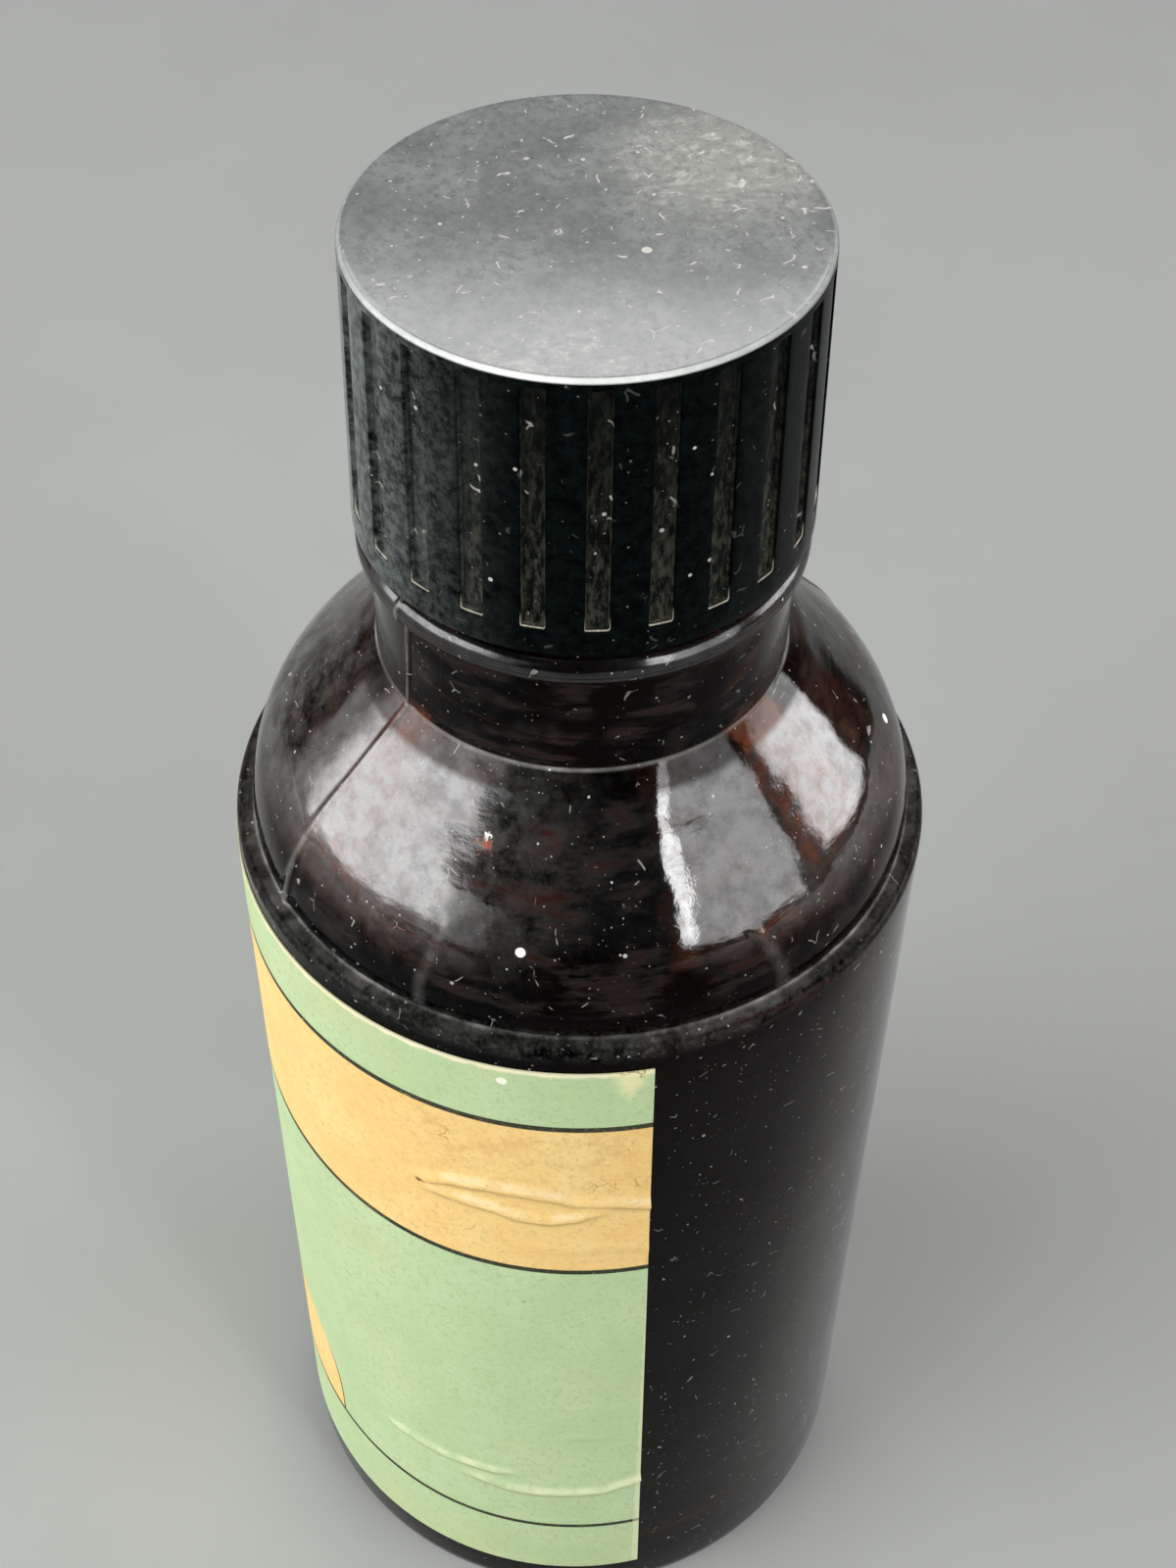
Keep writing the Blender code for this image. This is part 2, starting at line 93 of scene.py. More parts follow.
class Wire:
    """A value in a material's nodes. Sums on it add the Math or Vector Math nodes for them."""

    def __init__(self, tree, socket):
        self.tree = tree
        self.socket = socket

    def add(self, kind, settings=None, sockets=None, output=0):
        """Any other node: its settings first, then its sockets by name or number."""
        node = self.tree.nodes.new(kind)
        for name, value in (settings or {}).items():
            setattr(node, name, value)
        for name, value in (sockets or {}).items():
            if isinstance(value, Wire):
                self.tree.links.new(value.socket, node.inputs[name])
            else:
                node.inputs[name].default_value = value
        return Wire(self.tree, node.outputs[output])

    def sum(self, operation, *values):
        is_vector = any(isinstance(v, Wire) and v.socket.type == "VECTOR" for v in values)
        kind = "ShaderNodeVectorMath" if is_vector else "ShaderNodeMath"
        return self.add(kind, {"operation": operation}, dict(enumerate(values)))

    def __add__(self, other):
        return self.sum("ADD", self, other)

    def __radd__(self, other):
        return self.sum("ADD", other, self)

    def __sub__(self, other):
        return self.sum("SUBTRACT", self, other)

    def __rsub__(self, other):
        return self.sum("SUBTRACT", other, self)

    def __mul__(self, other):
        return self.sum("MULTIPLY", self, other)

    def __rmul__(self, other):
        return self.sum("MULTIPLY", other, self)

    def __truediv__(self, other):
        return self.sum("DIVIDE", self, other)

    def __rtruediv__(self, other):
        return self.sum("DIVIDE", other, self)

    def __pow__(self, other):
        return self.sum("POWER", self, other)

    def __abs__(self):
        return self.sum("ABSOLUTE", self)

    def most(self, other):
        return self.sum("MAXIMUM", self, other)

    def least(self, other):
        return self.sum("MINIMUM", self, other)

    def ramp(self, zero_at, one_at):
        """Smooth from 0 to 1 between the two values; the first may be the larger."""
        values = {"Value": self, "From Min": zero_at, "From Max": one_at}
        return self.add("ShaderNodeMapRange", {"interpolation_type": "SMOOTHSTEP"}, values)

    def near(self, value, reach):
        """1 at the value, smoothly down to 0 at that reach on both sides."""
        return abs(self - value).ramp(reach, 0)

    def part(self, axis):
        return self.add("ShaderNodeSeparateXYZ", {}, {0: self}, axis)

    def length(self):
        return self.add("ShaderNodeVectorMath", {"operation": "LENGTH"}, {0: self}, 1)

    def across(self):
        """Distance of a place from the bottle's axis."""
        x, y = self.part(0), self.part(1)
        return (x * x + y * y) ** 0.5

    def azimuth(self):
        """Degrees round the bottle's axis from the middle of the label, -180 to 180."""
        return self.sum("ARCTAN2", self.part(0), 0 - self.part(1)) * math.degrees(1)

    def noise(self, size, detail=2.0, roughness=0.5):
        """Noise with features of about the given size, 0 to 1 around 0.5."""
        values = {"Vector": self, "Scale": 1 / size, "Detail": detail, "Roughness": roughness}
        return self.add("ShaderNodeTexNoise", {}, values)

    def cells(self, size, feature="F1", output="Distance"):
        """Voronoi cells of about the given size."""
        values = {"Vector": self, "Scale": 1 / size}
        return self.add("ShaderNodeTexVoronoi", {"feature": feature}, values, output)

    def specks(self, spacing, radius, share):
        """Round specks of mixed sizes, one in each of a share of the cells."""
        chance = self.cells(spacing, output="Color")
        picked = self.add("ShaderNodeSeparateColor", {}, {0: chance}, 0)
        picked = picked.ramp(1 - share, 1.001 - share)
        size = self.add("ShaderNodeSeparateColor", {}, {0: chance}, 1) * radius + radius * 0.3
        inside = (size - self.cells(spacing) * spacing).ramp(0, radius * 0.25)
        return inside * picked

    def hairs(self, spacing, width, share):
        """Short crooked lines: stretches of the edges of slightly bent cells."""
        values = {"Vector": self, "Scale": 0.9 / spacing, "Detail": 2}
        bend = self.add("ShaderNodeTexNoise", {}, values, "Color")
        values = {0: bend, "Scale": spacing * 0.9}
        bend = self.add("ShaderNodeVectorMath", {"operation": "SCALE"}, values)
        line = (self + bend).cells(spacing, "DISTANCE_TO_EDGE").ramp(width / spacing, 0)
        return line * self.noise(spacing * 0.45, 1.0).ramp(1 - share, 1.05 - share)

    def blend(self, first, second):
        """One colour turned into the other by this share."""
        values = {0: self, 6: first, 7: second}
        return self.add("ShaderNodeMix", {"data_type": "RGBA"}, values, 2)

    def bump(self, height, normal=None):
        """A normal tilted by this relief, whose full height is given in millimetres."""
        values = {"Height": self, "Distance": height / 1000, "Strength": 1}
        if normal:
            values["Normal"] = normal
        return self.add("ShaderNodeBump", {}, values)


def new_material(name):
    """An empty material and its place on the object in millimetres."""
    look = bpy.data.materials.new(name)
    look.use_nodes = True
    tree = look.node_tree
    tree.nodes.clear()
    metres = Wire(tree, tree.nodes.new("ShaderNodeTexCoord").outputs["Object"])
    place = metres.add("ShaderNodeVectorMath", {"operation": "SCALE"}, {0: metres, "Scale": 1000.0})
    return look, place


def close_material(look, shader):
    tree = look.node_tree
    output = tree.nodes.new("ShaderNodeOutputMaterial")
    tree.links.new(shader.socket, output.inputs["Surface"])
    return look


look, place = new_material("floor_card")
grain = place.noise(FLOOR_GRAIN, 4.0, 0.6).ramp(0.3, 0.7)
shader = place.add("ShaderNodeBsdfPrincipled", {}, {
    "Base Color": grain.blend(FLOOR_COLOUR, FLOOR_GRAIN_COLOUR),
    "Roughness": grain * 0.1 + 0.75,
    "Specular IOR Level": 0.2,
})
close_material(look, shader)
floor_mesh = bpy.data.meshes.new("floor")
half, drop = FLOOR_HALF / 1000, FLOOR_DROP / 1000
corners = [(x * half, y * half, -drop) for x, y in ((-1, -1), (1, -1), (1, 1), (-1, 1))]
floor_mesh.from_pydata(corners, [], [(0, 1, 2, 3)])
floor_mesh.materials.append(look)
floor = bpy.data.objects.new("floor", floor_mesh)
bpy.context.scene.collection.objects.link(floor)

world = bpy.data.worlds.new("surround")
world.use_nodes = True
world.node_tree.nodes["Background"].inputs["Color"].default_value = SURROUND_COLOUR
bpy.context.scene.world = world


def direction(azimuth, elevation):
    turn, tilt = math.radians(azimuth), math.radians(elevation)
    level = math.cos(tilt)
    return Vector((math.sin(turn) * level, -math.cos(turn) * level, math.sin(tilt)))


for name, first_end, last_end, spread, level, distance, fades in SOFT_BOXES:
    first, last = direction(*first_end), direction(*last_end)
    out = (first + last).normalized()
    along = (last - first).normalized()
    lamp = bpy.data.lights.new(name, "AREA")
    lamp.shape = "RECTANGLE"
    lamp.size = 2 * distance / 1000 * math.tan(first.angle(last) / 2)
    lamp.size_y = 2 * distance / 1000 * math.tan(math.radians(spread / 2))
    lamp.energy = level * math.pi * lamp.size * lamp.size_y
    lamp.use_nodes = True
    tree = lamp.node_tree
    cloth = Wire(tree, tree.nodes.new("ShaderNodeNewGeometry").outputs["Parametric"])
    glow = 1.0
    for axis, fade in enumerate(fades):
        share = cloth.part(axis)
        glow = share.ramp(0.0, fade) * share.ramp(1.0, 1 - fade) * glow
    tree.links.new(glow.socket, tree.nodes["Emission"].inputs["Color"])
    box = bpy.data.objects.new(name, lamp)
    middle = out * distance / 1000 + Vector((0, 0, AIM_HEIGHT / 1000))
    columns = [along, out.cross(along), out, middle]
    box.matrix_world = Matrix([*zip(*columns), (0, 0, 0, 1)])
    box.visible_camera = False
    bpy.context.scene.collection.objects.link(box)


# --------------------------------------------------
# Glass bottle: one piece of amber glass, blown in a two-part mould with a neck ring.
# The mould leaves two fine seams down its sides, a parting line round the bead, a small
# step above the label and a stippled ring to stand on. The screw thread is part of it.
# --------------------------------------------------

BODY_RADIUS = 24.5
WALL = 2.6
HEEL_RADIUS = 3.9
INNER_HEEL_RADIUS = 5.0
BEARING_WIDTH = 1.8
PUSH_UP = 1.5
FLOOR_THICKNESS = 3.8
LEDGE_HEIGHT = 83.1
STEP_WIDTH = 1.3
STEP_EDGE_RADIUS = 0.75
STEP_FILLET_RADIUS = 0.25
SHOULDER_RADIUS = 12.8
SHOULDER_SLOPE = 46.5
SHOULDER_WALL = 2.8
INNER_SHOULDER_RADIUS = 11.0
NECK_RADIUS = 13.7
NECK_FILLET_RADIUS = 0.7
NECK_WALL = 3.5
NECK_FLARE = 4.5
BEAD_RADIUS = 14.6
BEAD_SECTION_RADIUS = 1.25
BEAD_TOP = 108.6
BEAD_PARTING_TURN = -6.0
BEAD_PARTING_DEPTH = 0.06
FINISH_RADIUS = 10.9
LIP_HEIGHT = 125.2
BORE_RADIUS = 7.9
LIP_ROUND = 0.5
THREAD_PITCH = 3.175
THREAD_DEPTH = 1.05
THREAD_WIDTH = 2.1
THREAD_TURNS = 2
THREAD_RUN_OUT = 50.0
THREAD_START = 116.65
# The thread's section: shares of its depth, and of half its width along the axis
THREAD_SECTION = (
    (0, -1), (0.12, -0.82), (0.55, -0.6), (0.92, -0.42), (1, -0.2),
    (1, 0.2), (0.92, 0.42), (0.55, 0.6), (0.12, 0.82), (0, 1),
)
SEAM_AZIMUTHS = (26.0, 206.0)
SEAM_DRIFT = -8.0
SEAM_COLUMNS = (-1.4, -0.8, -0.4, 0.0, 0.4, 0.8, 1.4)
SEAM_HEIGHT = 0.14
GLASS_COLUMNS = 180
WOBBLE = 0.05
# The amber's darker and lighter tones, as it shows through the upright walls' glass, through
# glossy glass and, one tone only, just below the neck, where the darker band is painted shade
AMBER = ((0.038, 0.010, 0.004, 1), (0.062, 0.016, 0.006, 1))
DEEP_AMBER = ((0.0045, 0.0014, 0.0006, 1), (0.0085, 0.0025, 0.0011, 1))
SHADED_AMBER_BELOW_NECK = (0.008, 0.0022, 0.0009, 1)
# Index of refraction and tint of the highlights; the upright walls' are turned down, which
# paints shade into their reflections
SHADED_UPRIGHT_GLASS = (1.15, (0.3, 0.29, 0.28, 1))
GLOSSY = (1.80, (1.0, 1.0, 1.0, 1))
# Tones of the dust, which also colour the painted highlights of the creases, seams and haze
DUST_AND_HIGHLIGHT_TONES = ((0.34, 0.33, 0.30, 1), (0.66, 0.65, 0.61, 1))
# Brown painted glow of light through the amber
BROWN_GLOW = (0.20, 0.030, 0.008, 1)
# Painted glints: the bruise's orange glow, and one white for the paint drops and the chip's spark
BRUISE_GLINT_RED = (0.50, 0.13, 0.06, 1)
PAINT_AND_SPARK_WHITE = (0.90, 0.89, 0.85, 1)
# Middles of the hazy places, which lie where the shoulder's reflections fall so that the haze
# also paints part of their brightness, how far off the haze starts and is full, and its strength
HAZE_AND_REFLECTION_PLACES = (
    ((11.0, -13.0, 92.0), 14.0, 4.0, 1.0),
    ((-4.0, -17.5, 92.0), 13.0, 3.0, 1.0),
    ((16.0, 10.0, 92.5), 12.0, 3.0, 0.55),
)
# Middles and radii of the drops of white paint
PAINT_DROPS = (((19.89, -8.33, 89.55), 0.38), ((5.70, 20.20, 90.51), 0.40))
BRUISE_PLACE = (14.65, -9.49, 94.41)
CHIP_SPARK_PLACE = (14.45, -9.35, 94.95)
# Wrinkles down the shoulder: azimuth of the head, heights between which it drifts round,
# how far, half width, and heights between which its head fades in
WRINKLES = (
    (103.6, (93.5, 84.5), 9.0, 2.1, (94.5, 88.0)),
    (54.0, (91.0, 85.0), -3.6, 1.7, (91.0, 88.0)),
)
# Squeezes a place so that what is drawn there is long round the bottle and short up it
DRAWN_ROUND = (0.22, 0.22, 1.0)
# Azimuth and reach of where the painted highlight on the crease at the step fades, and of
# where the gloss begins higher up the shoulder
FADED_CREASE_HIGHLIGHT = (75.0, 30.0)
LATE_GLOSS = (78.0, 30.0)


def limited(share):
    return max(0.0, min(1.0, share))


def eased(share):
    """A share that starts and ends gently."""
    share = limited(share)
    return share * share * (3 - 2 * share)


def even_angles(count):
    return [math.tau * k / count for k in range(count)]


class Shell:
    """The points, in millimetres, and faces of one closed surface."""

    def __init__(self):
        self.points = []
        self.faces = []

    def point(self, radius, angle, height):
        self.points.append((radius * math.cos(angle), radius * math.sin(angle), height))
        return len(self.points) - 1

    def ring(self, angles, radius, height):
        return [self.point(radius, angle, height) for angle in angles]

    def join(self, first, second):
        count = len(first)
        for k in range(count):
            n = (k + 1) % count
            self.faces.append((first[k], first[n], second[n], second[k]))

    def fan(self, ring, height):
        tip = self.point(0, 0, height)
        for k in range(len(ring)):
            self.faces.append((ring[k], ring[(k + 1) % len(ring)], tip))

    def turn(self, angles, profile):
        """Turn a profile of (r, z) points; an end on the axis closes with a fan."""
        rings = [self.ring(angles, r, z) for r, z in profile if r]
        for first, second in zip(rings, rings[1:]):
            self.join(first, second)
        if not profile[0][0]:
            self.fan(rings[0], profile[0][1])
        if not profile[-1][0]:
            self.fan(rings[-1], profile[-1][1])
        return rings

    def thread(self, angles, below, above, root, side, start):
        """Join two rings with a wall that carries a helical ridge, outward for side 1."""
        total = THREAD_TURNS * math.tau - math.tau / len(angles)
        columns = []
        for k, angle in enumerate(angles):
            column = [below[k]]
            for lap in range(THREAD_TURNS):
                wound = angle - angles[0] + lap * math.tau
                share = min(wound, total - wound) / math.radians(THREAD_RUN_OUT)
                ridge = side * THREAD_DEPTH * eased(share)
                for crest, offset in THREAD_SECTION:
                    height = start + THREAD_PITCH * wound / math.tau + offset * THREAD_WIDTH / 2
                    column.append(self.point(root + ridge * crest, angle, height))
            column.append(above[k])
            columns.append(column)
        for left, right in zip(columns, columns[1:]):
            for k in range(len(left) - 1):
                self.faces.append((left[k], right[k], right[k + 1], left[k + 1]))
        left, right = columns[-1], columns[0]
        lap, last = len(THREAD_SECTION), len(left) - 1
        self.faces.append((left[0], *right[: lap + 2], left[1]))
        for k in range(1, last - 1 - lap):
            self.faces.append((left[k], right[k + lap], right[k + lap + 1], left[k + 1]))
        self.faces.append((right[last - 1], right[last], *reversed(left[last - 1 - lap :])))

    def piece(self, name, look, sharp_angle=40.0):
        """The finished object, smooth but for edges sharper than the angle."""
        mesh = bpy.data.meshes.new(name)
        mesh.from_pydata([tuple(v / 1000 for v in p) for p in self.points], [], self.faces)
        bm = bmesh.new()
        bm.from_mesh(mesh)
        bmesh.ops.recalc_face_normals(bm, faces=bm.faces)
        bm.to_mesh(mesh)
        bm.free()
        mesh.shade_smooth()
        mesh.set_sharp_from_angle(angle=math.radians(sharp_angle))
        mesh.materials.append(look)
        made = bpy.data.objects.new(name, mesh)
        bpy.context.scene.collection.objects.link(made)
        return made


def arc(centre, radius, start, end, steps):
    """Points (r, z) on a circle from one angle to the other, in degrees."""
    turns = [math.radians(start + (end - start) * k / steps) for k in range(steps + 1)]
    return [(centre[0] + radius * math.cos(t), centre[1] + radius * math.sin(t)) for t in turns]


def glass_angles():
    """Even columns, with closer ones at each seam; an azimuth of 0 is at -90 degrees."""
    step = 360 / GLASS_COLUMNS
    seams = [a - 90 for a in SEAM_AZIMUTHS]
    even = [k * step for k in range(GLASS_COLUMNS)]
    clear = max(SEAM_COLUMNS) + step / 4
    kept = [a for a in even if all(abs((a - s + 180) % 360 - 180) > clear for s in seams)]
    kept += [(s + offset) % 360 for s in seams for offset in SEAM_COLUMNS]
    return [math.radians(a) for a in sorted(kept)]


def glass_outside():
    """Outer profile from the middle of the base to the foot of the thread."""
    flat = BODY_RADIUS - HEEL_RADIUS - BEARING_WIDTH
    points = [(flat * k / 12, PUSH_UP * (1 - (k / 12) ** 2)) for k in range(12)]
    points += [(flat, 0), (flat + BEARING_WIDTH / 2, 0)]
    points += arc((BODY_RADIUS - HEEL_RADIUS, HEEL_RADIUS), HEEL_RADIUS, -90, 0, 12)
    edge = (BODY_RADIUS - STEP_EDGE_RADIUS, LEDGE_HEIGHT - STEP_EDGE_RADIUS)
    wall_foot, wall_head = HEEL_RADIUS, edge[1]
    points += [(BODY_RADIUS, wall_foot + (wall_head - wall_foot) * k / 24) for k in range(1, 24)]
    points += arc(edge, STEP_EDGE_RADIUS, 0, 90, 8)
    dome_radius = BODY_RADIUS - STEP_WIDTH
    fillet = (dome_radius + STEP_FILLET_RADIUS, LEDGE_HEIGHT + STEP_FILLET_RADIUS)
    points += arc(fillet, STEP_FILLET_RADIUS, -90, -180, 5)
    centre = (dome_radius - SHOULDER_RADIUS, fillet[1])
    dome = arc(centre, SHOULDER_RADIUS, 0, 90 - SHOULDER_SLOPE, 20)
    points += dome[1:]
    slope = math.radians(SHOULDER_SLOPE)
    neck_foot = dome[-1][1] + (dome[-1][0] - NECK_RADIUS) * math.tan(slope)
    set_back = NECK_FILLET_RADIUS * math.tan((math.pi / 2 - slope) / 2)
    fillet = (NECK_RADIUS + NECK_FILLET_RADIUS, neck_foot + set_back)
    curve = arc(fillet, NECK_FILLET_RADIUS, 270 - SHOULDER_SLOPE, 180, 6)
    cone_foot, cone_head = dome[-1], curve[0]
    points += [
        tuple(a + (b - a) * k / 6 for a, b in zip(cone_foot, cone_head)) for k in range(1, 6)
    ]
    points += curve
    centre = (BEAD_RADIUS - BEAD_SECTION_RADIUS, BEAD_TOP - BEAD_SECTION_RADIUS)
    start = math.degrees(math.acos((NECK_RADIUS - centre[0]) / BEAD_SECTION_RADIUS))
    neck_head = centre[1] - BEAD_SECTION_RADIUS * math.sin(math.radians(start))
    points += [(NECK_RADIUS, curve[-1][1] + (neck_head - curve[-1][1]) * k / 4) for k in (1, 2, 3)]
    points += arc(centre, BEAD_SECTION_RADIUS, -start, BEAD_PARTING_TURN - 7, 7)
    groove = math.radians(BEAD_PARTING_TURN)
    reach = BEAD_SECTION_RADIUS - BEAD_PARTING_DEPTH
    points.append((centre[0] + reach * math.cos(groove), centre[1] + reach * math.sin(groove)))
    points += arc(centre, BEAD_SECTION_RADIUS, BEAD_PARTING_TURN + 6, 90, 10)
    points.append((FINISH_RADIUS + LIP_ROUND, BEAD_TOP))
    points += arc((FINISH_RADIUS + LIP_ROUND, BEAD_TOP + LIP_ROUND), LIP_ROUND, -100, -180, 4)
    points.append((FINISH_RADIUS, THREAD_START - THREAD_WIDTH))
    return points, neck_foot


def glass_inside(neck_foot):
    """Profile from the head of the thread over the lip and down the inside to the floor."""
    head = THREAD_START + THREAD_PITCH * THREAD_TURNS + THREAD_WIDTH / 2 + LIP_ROUND / 2
    points = [(FINISH_RADIUS, head)]
    points += arc((FINISH_RADIUS - LIP_ROUND, LIP_HEIGHT - LIP_ROUND), LIP_ROUND, 0, 90, 5)
    points += arc((BORE_RADIUS + LIP_ROUND, LIP_HEIGHT - LIP_ROUND), LIP_ROUND, 90, 180, 5)
    neck_bore = NECK_RADIUS - NECK_WALL
    for k in range(13):
        radius = BORE_RADIUS + (neck_bore - BORE_RADIUS) * eased(k / 12)
        points.append((radius, BEAD_TOP - NECK_FLARE * k / 12))
    tilt = math.radians(90 - SHOULDER_SLOPE)
    inner = BODY_RADIUS - WALL
    offset = math.cos(tilt) * NECK_RADIUS + math.sin(tilt) * neck_foot - SHOULDER_WALL
    points.append((neck_bore, (offset - math.cos(tilt) * neck_bore) / math.sin(tilt)))
    middle = inner - INNER_SHOULDER_RADIUS
    height = (offset - INNER_SHOULDER_RADIUS - math.cos(tilt) * middle) / math.sin(tilt)
    points += arc((middle, height), INNER_SHOULDER_RADIUS, 90 - SHOULDER_SLOPE, 0, 14)
    heel = (inner - INNER_HEEL_RADIUS, FLOOR_THICKNESS + INNER_HEEL_RADIUS)
    points += [(inner, height + (heel[1] - height) * k / 12) for k in range(1, 12)]
    points += arc(heel, INNER_HEEL_RADIUS, 0, -90, 10)
    points += [
        (heel[0] * k / 8, FLOOR_THICKNESS + PUSH_UP * (1 - (k / 8) ** 2)) for k in range(7, -1, -1)
    ]
    return points


def seam_drift(height):
    """The seams lean a little on the shoulder: 0 at the bead, all of it at the step."""
    return math.radians(SEAM_DRIFT) * limited((BEAD_TOP - height) / (BEAD_TOP - LEDGE_HEIGHT))


def add_outside(shell, angles, profile):
    """Turn the outer profile, with its raised seams and a slightly uneven step."""
    seams = [math.radians(a - 90) for a in SEAM_AZIMUTHS]
    reach = math.radians(max(SEAM_COLUMNS) * 0.75)
    rings = []
    for r, z in profile:
        if not r:
            continue
        relief = SEAM_HEIGHT * limited((z - 1) / HEEL_RADIUS)
        if r >= BODY_RADIUS - STEP_EDGE_RADIUS:
            relief = 0
        unevenness = WOBBLE if abs(z - LEDGE_HEIGHT) < STEP_EDGE_RADIUS / 2 else 0
        ring = []
        for a in angles:
            off = min(abs((a - s + math.pi) % math.tau - math.pi) for s in seams)
            radius = r + relief * max(0.0, 1 - (off / reach) ** 2)
            waves = math.sin(5 * a) + math.sin(13 * a + 1) + math.sin(31 * a)
            height = z + unevenness * waves / 3
            ring.append(shell.point(radius, a + seam_drift(z), height))
        rings.append(ring)
    for first, second in zip(rings, rings[1:]):
        shell.join(first, second)
    shell.fan(rings[0], profile[0][1])
    return rings[-1]


outside, neck_foot = glass_outside()
look, place = new_material("amber_glass")
height = place.part(2)
azimuth = place.azimuth()
facing_up = place.add("ShaderNodeNewGeometry", {}, {}, "Normal").part(2)
on_foot = height.ramp(3.0, 0.4)
on_shoulder = facing_up.ramp(0.10, 0.45)
above_step = height.ramp(LEDGE_HEIGHT + 0.1, LEDGE_HEIGHT + 0.6)

wrinkle = 0.0
for head, bend, drift, reach, fade in WRINKLES:
    off_line = azimuth - head - height.ramp(*bend) * drift
    wrinkle = (off_line.near(0.0, reach) * height.ramp(*fade)).most(wrinkle)

# Relief: hammered waves on the shoulder, fine ripples round it and a stippled foot
rippled = place * DRAWN_ROUND
relief = place.noise(9.0, 1.0).bump(0.12)
relief = ((place.noise(5.5, 1.0) - 0.5) * on_shoulder).bump(0.22, relief)
relief = ((place.noise(2.2, 1.0) - 0.5) * on_shoulder).bump(0.030, relief)
relief = place.noise(0.7, 3.0, 0.6).bump(0.008, relief)
relief = rippled.noise(0.42, 2.0).bump(0.010, relief)
relief = (wrinkle * above_step).bump(0.045, relief)
relief = (place.cells(0.9) * on_foot).bump(0.15, relief)

# Dust and painted highlights: crease lines at the step and the neck's foot that are dust and
# painted highlight both, a dusty ledge, haze that also paints part of the shoulder's
# reflections, specks and lint
patches = place.noise(9.0, 4.0, 0.65).ramp(0.42, 0.72)
fine = place.noise(0.35, 3.0, 0.7).ramp(0.42, 0.75)
clumps = place.noise(1.6, 3.0, 0.6).ramp(0.35, 0.7)
uneven = place.noise(6.0, 2.0).ramp(0.30, 0.62)
outer = place.across().ramp(22.2, 22.8)
broken = uneven * 0.6 + 0.4
# Crease lines: pale dust that also paints the highlight of each fillet, dimmed towards the front
crease_dust_and_highlight = height.near(LEDGE_HEIGHT + 0.14, 0.24) * outer * (clumps * 0.6 + 0.3) * broken
crease_dust_and_highlight = crease_dust_and_highlight * (1 - azimuth.near(*FADED_CREASE_HIGHLIGHT) * 0.7)
crease_dust_and_highlight = crease_dust_and_highlight.most(height.near(neck_foot + 0.02, 0.22) * (clumps * 0.5 + 0.5) * broken)
ledge = height.near(LEDGE_HEIGHT - 0.1, 1.3) * outer * (fine * 0.6 + clumps * 0.4)
# Haze: a dust film laid where the shoulder's reflections fall, which paints part of their
# brightness
haze_and_reflection = 0.0
for middle, start, full, strength in HAZE_AND_REFLECTION_PLACES:
    haze_and_reflection = ((place - middle).length().ramp(start, full) * strength).most(haze_and_reflection)
# The film also holds painted highlights: the haze where the reflections fall, and the crease lines
film = patches * 0.005 + haze_and_reflection * (patches * 0.5 + clumps + fine * 0.5) * 0.08 + fine * clumps * 0.008
film = facing_up.ramp(0.05, 0.6) * film + fine * 0.002 + crease_dust_and_highlight * 0.46 + ledge * 0.09
film = film + wrinkle * above_step * (clumps * 0.6 + 0.4) * 0.09
# Painted light: brown horizontal ripples on the shoulder and neck stand in for light shining
# through the amber
ringed = rippled.noise(1.0, 4.0, 0.65).ramp(0.42, 0.70) * place.noise(4.0).ramp(0.40, 0.60)
brown_glow = ringed * height.ramp(84.5, 86.0) * height.ramp(106.5, 105.5)
# Seams: a pale line of dust that also paints the highlight along each ridge
share = ((BEAD_TOP - height) / (BEAD_TOP - LEDGE_HEIGHT)).most(0.0).least(1.0)
off_seam = place.sum("PINGPONG", azimuth - SEAM_AZIMUTHS[0] - share * SEAM_DRIFT, 90.0)
seam_dust_and_highlight = off_seam.ramp(0.95, 0.25) * height.ramp(LEDGE_HEIGHT, LEDGE_HEIGHT + 1)
seam_dust_and_highlight = seam_dust_and_highlight * (clumps * 0.6 + 0.4)
specks = place.specks(0.7, 0.08, 0.6) * (clumps * 0.7 + 0.3)
specks = specks.most(place.specks(1.8, 0.13, 0.6)).most(place.specks(0.42, 0.055, 0.5) * patches)
lint = place.hairs(3.0, 0.07, 0.36)
exposed = facing_up.ramp(-0.6, 0.7) * 0.75 + 0.12
dust_and_glints = film + seam_dust_and_highlight * 0.22 + specks * exposed * 1.1 + lint * exposed * 0.7
dust_and_glint_colour = place.noise(2.0).blend(*DUST_AND_HIGHLIGHT_TONES)
dust_and_glint_colour = (brown_glow * 0.95).blend(dust_and_glint_colour, BROWN_GLOW)
dust_and_glints = dust_and_glints + brown_glow * 0.07

# Marks: two drops of white paint, and a small bruise in the shoulder, whose orange glow and
# the white spark of its chip are painted glints
white = 0.0
for middle, radius in PAINT_DROPS:
    white = (place - middle).length().ramp(radius, radius - 0.08).most(white)
bruised = (place - BRUISE_PLACE).length() + place.noise(0.45, 3.0, 0.65) * 2.2
bruise_glint = bruised.ramp(1.85, 1.25)
chip_spark = ((place - CHIP_SPARK_PLACE).length() + place.noise(0.3, 2.0) * 0.9).ramp(0.78, 0.60)
dust_and_glint_colour = bruise_glint.blend(dust_and_glint_colour, BRUISE_GLINT_RED)
dust_and_glint_colour = white.most(chip_spark).blend(dust_and_glint_colour, PAINT_AND_SPARK_WHITE)
dust_and_glints = dust_and_glints.most(white).most(bruise_glint * 0.6).most(chip_spark).least(1.0)

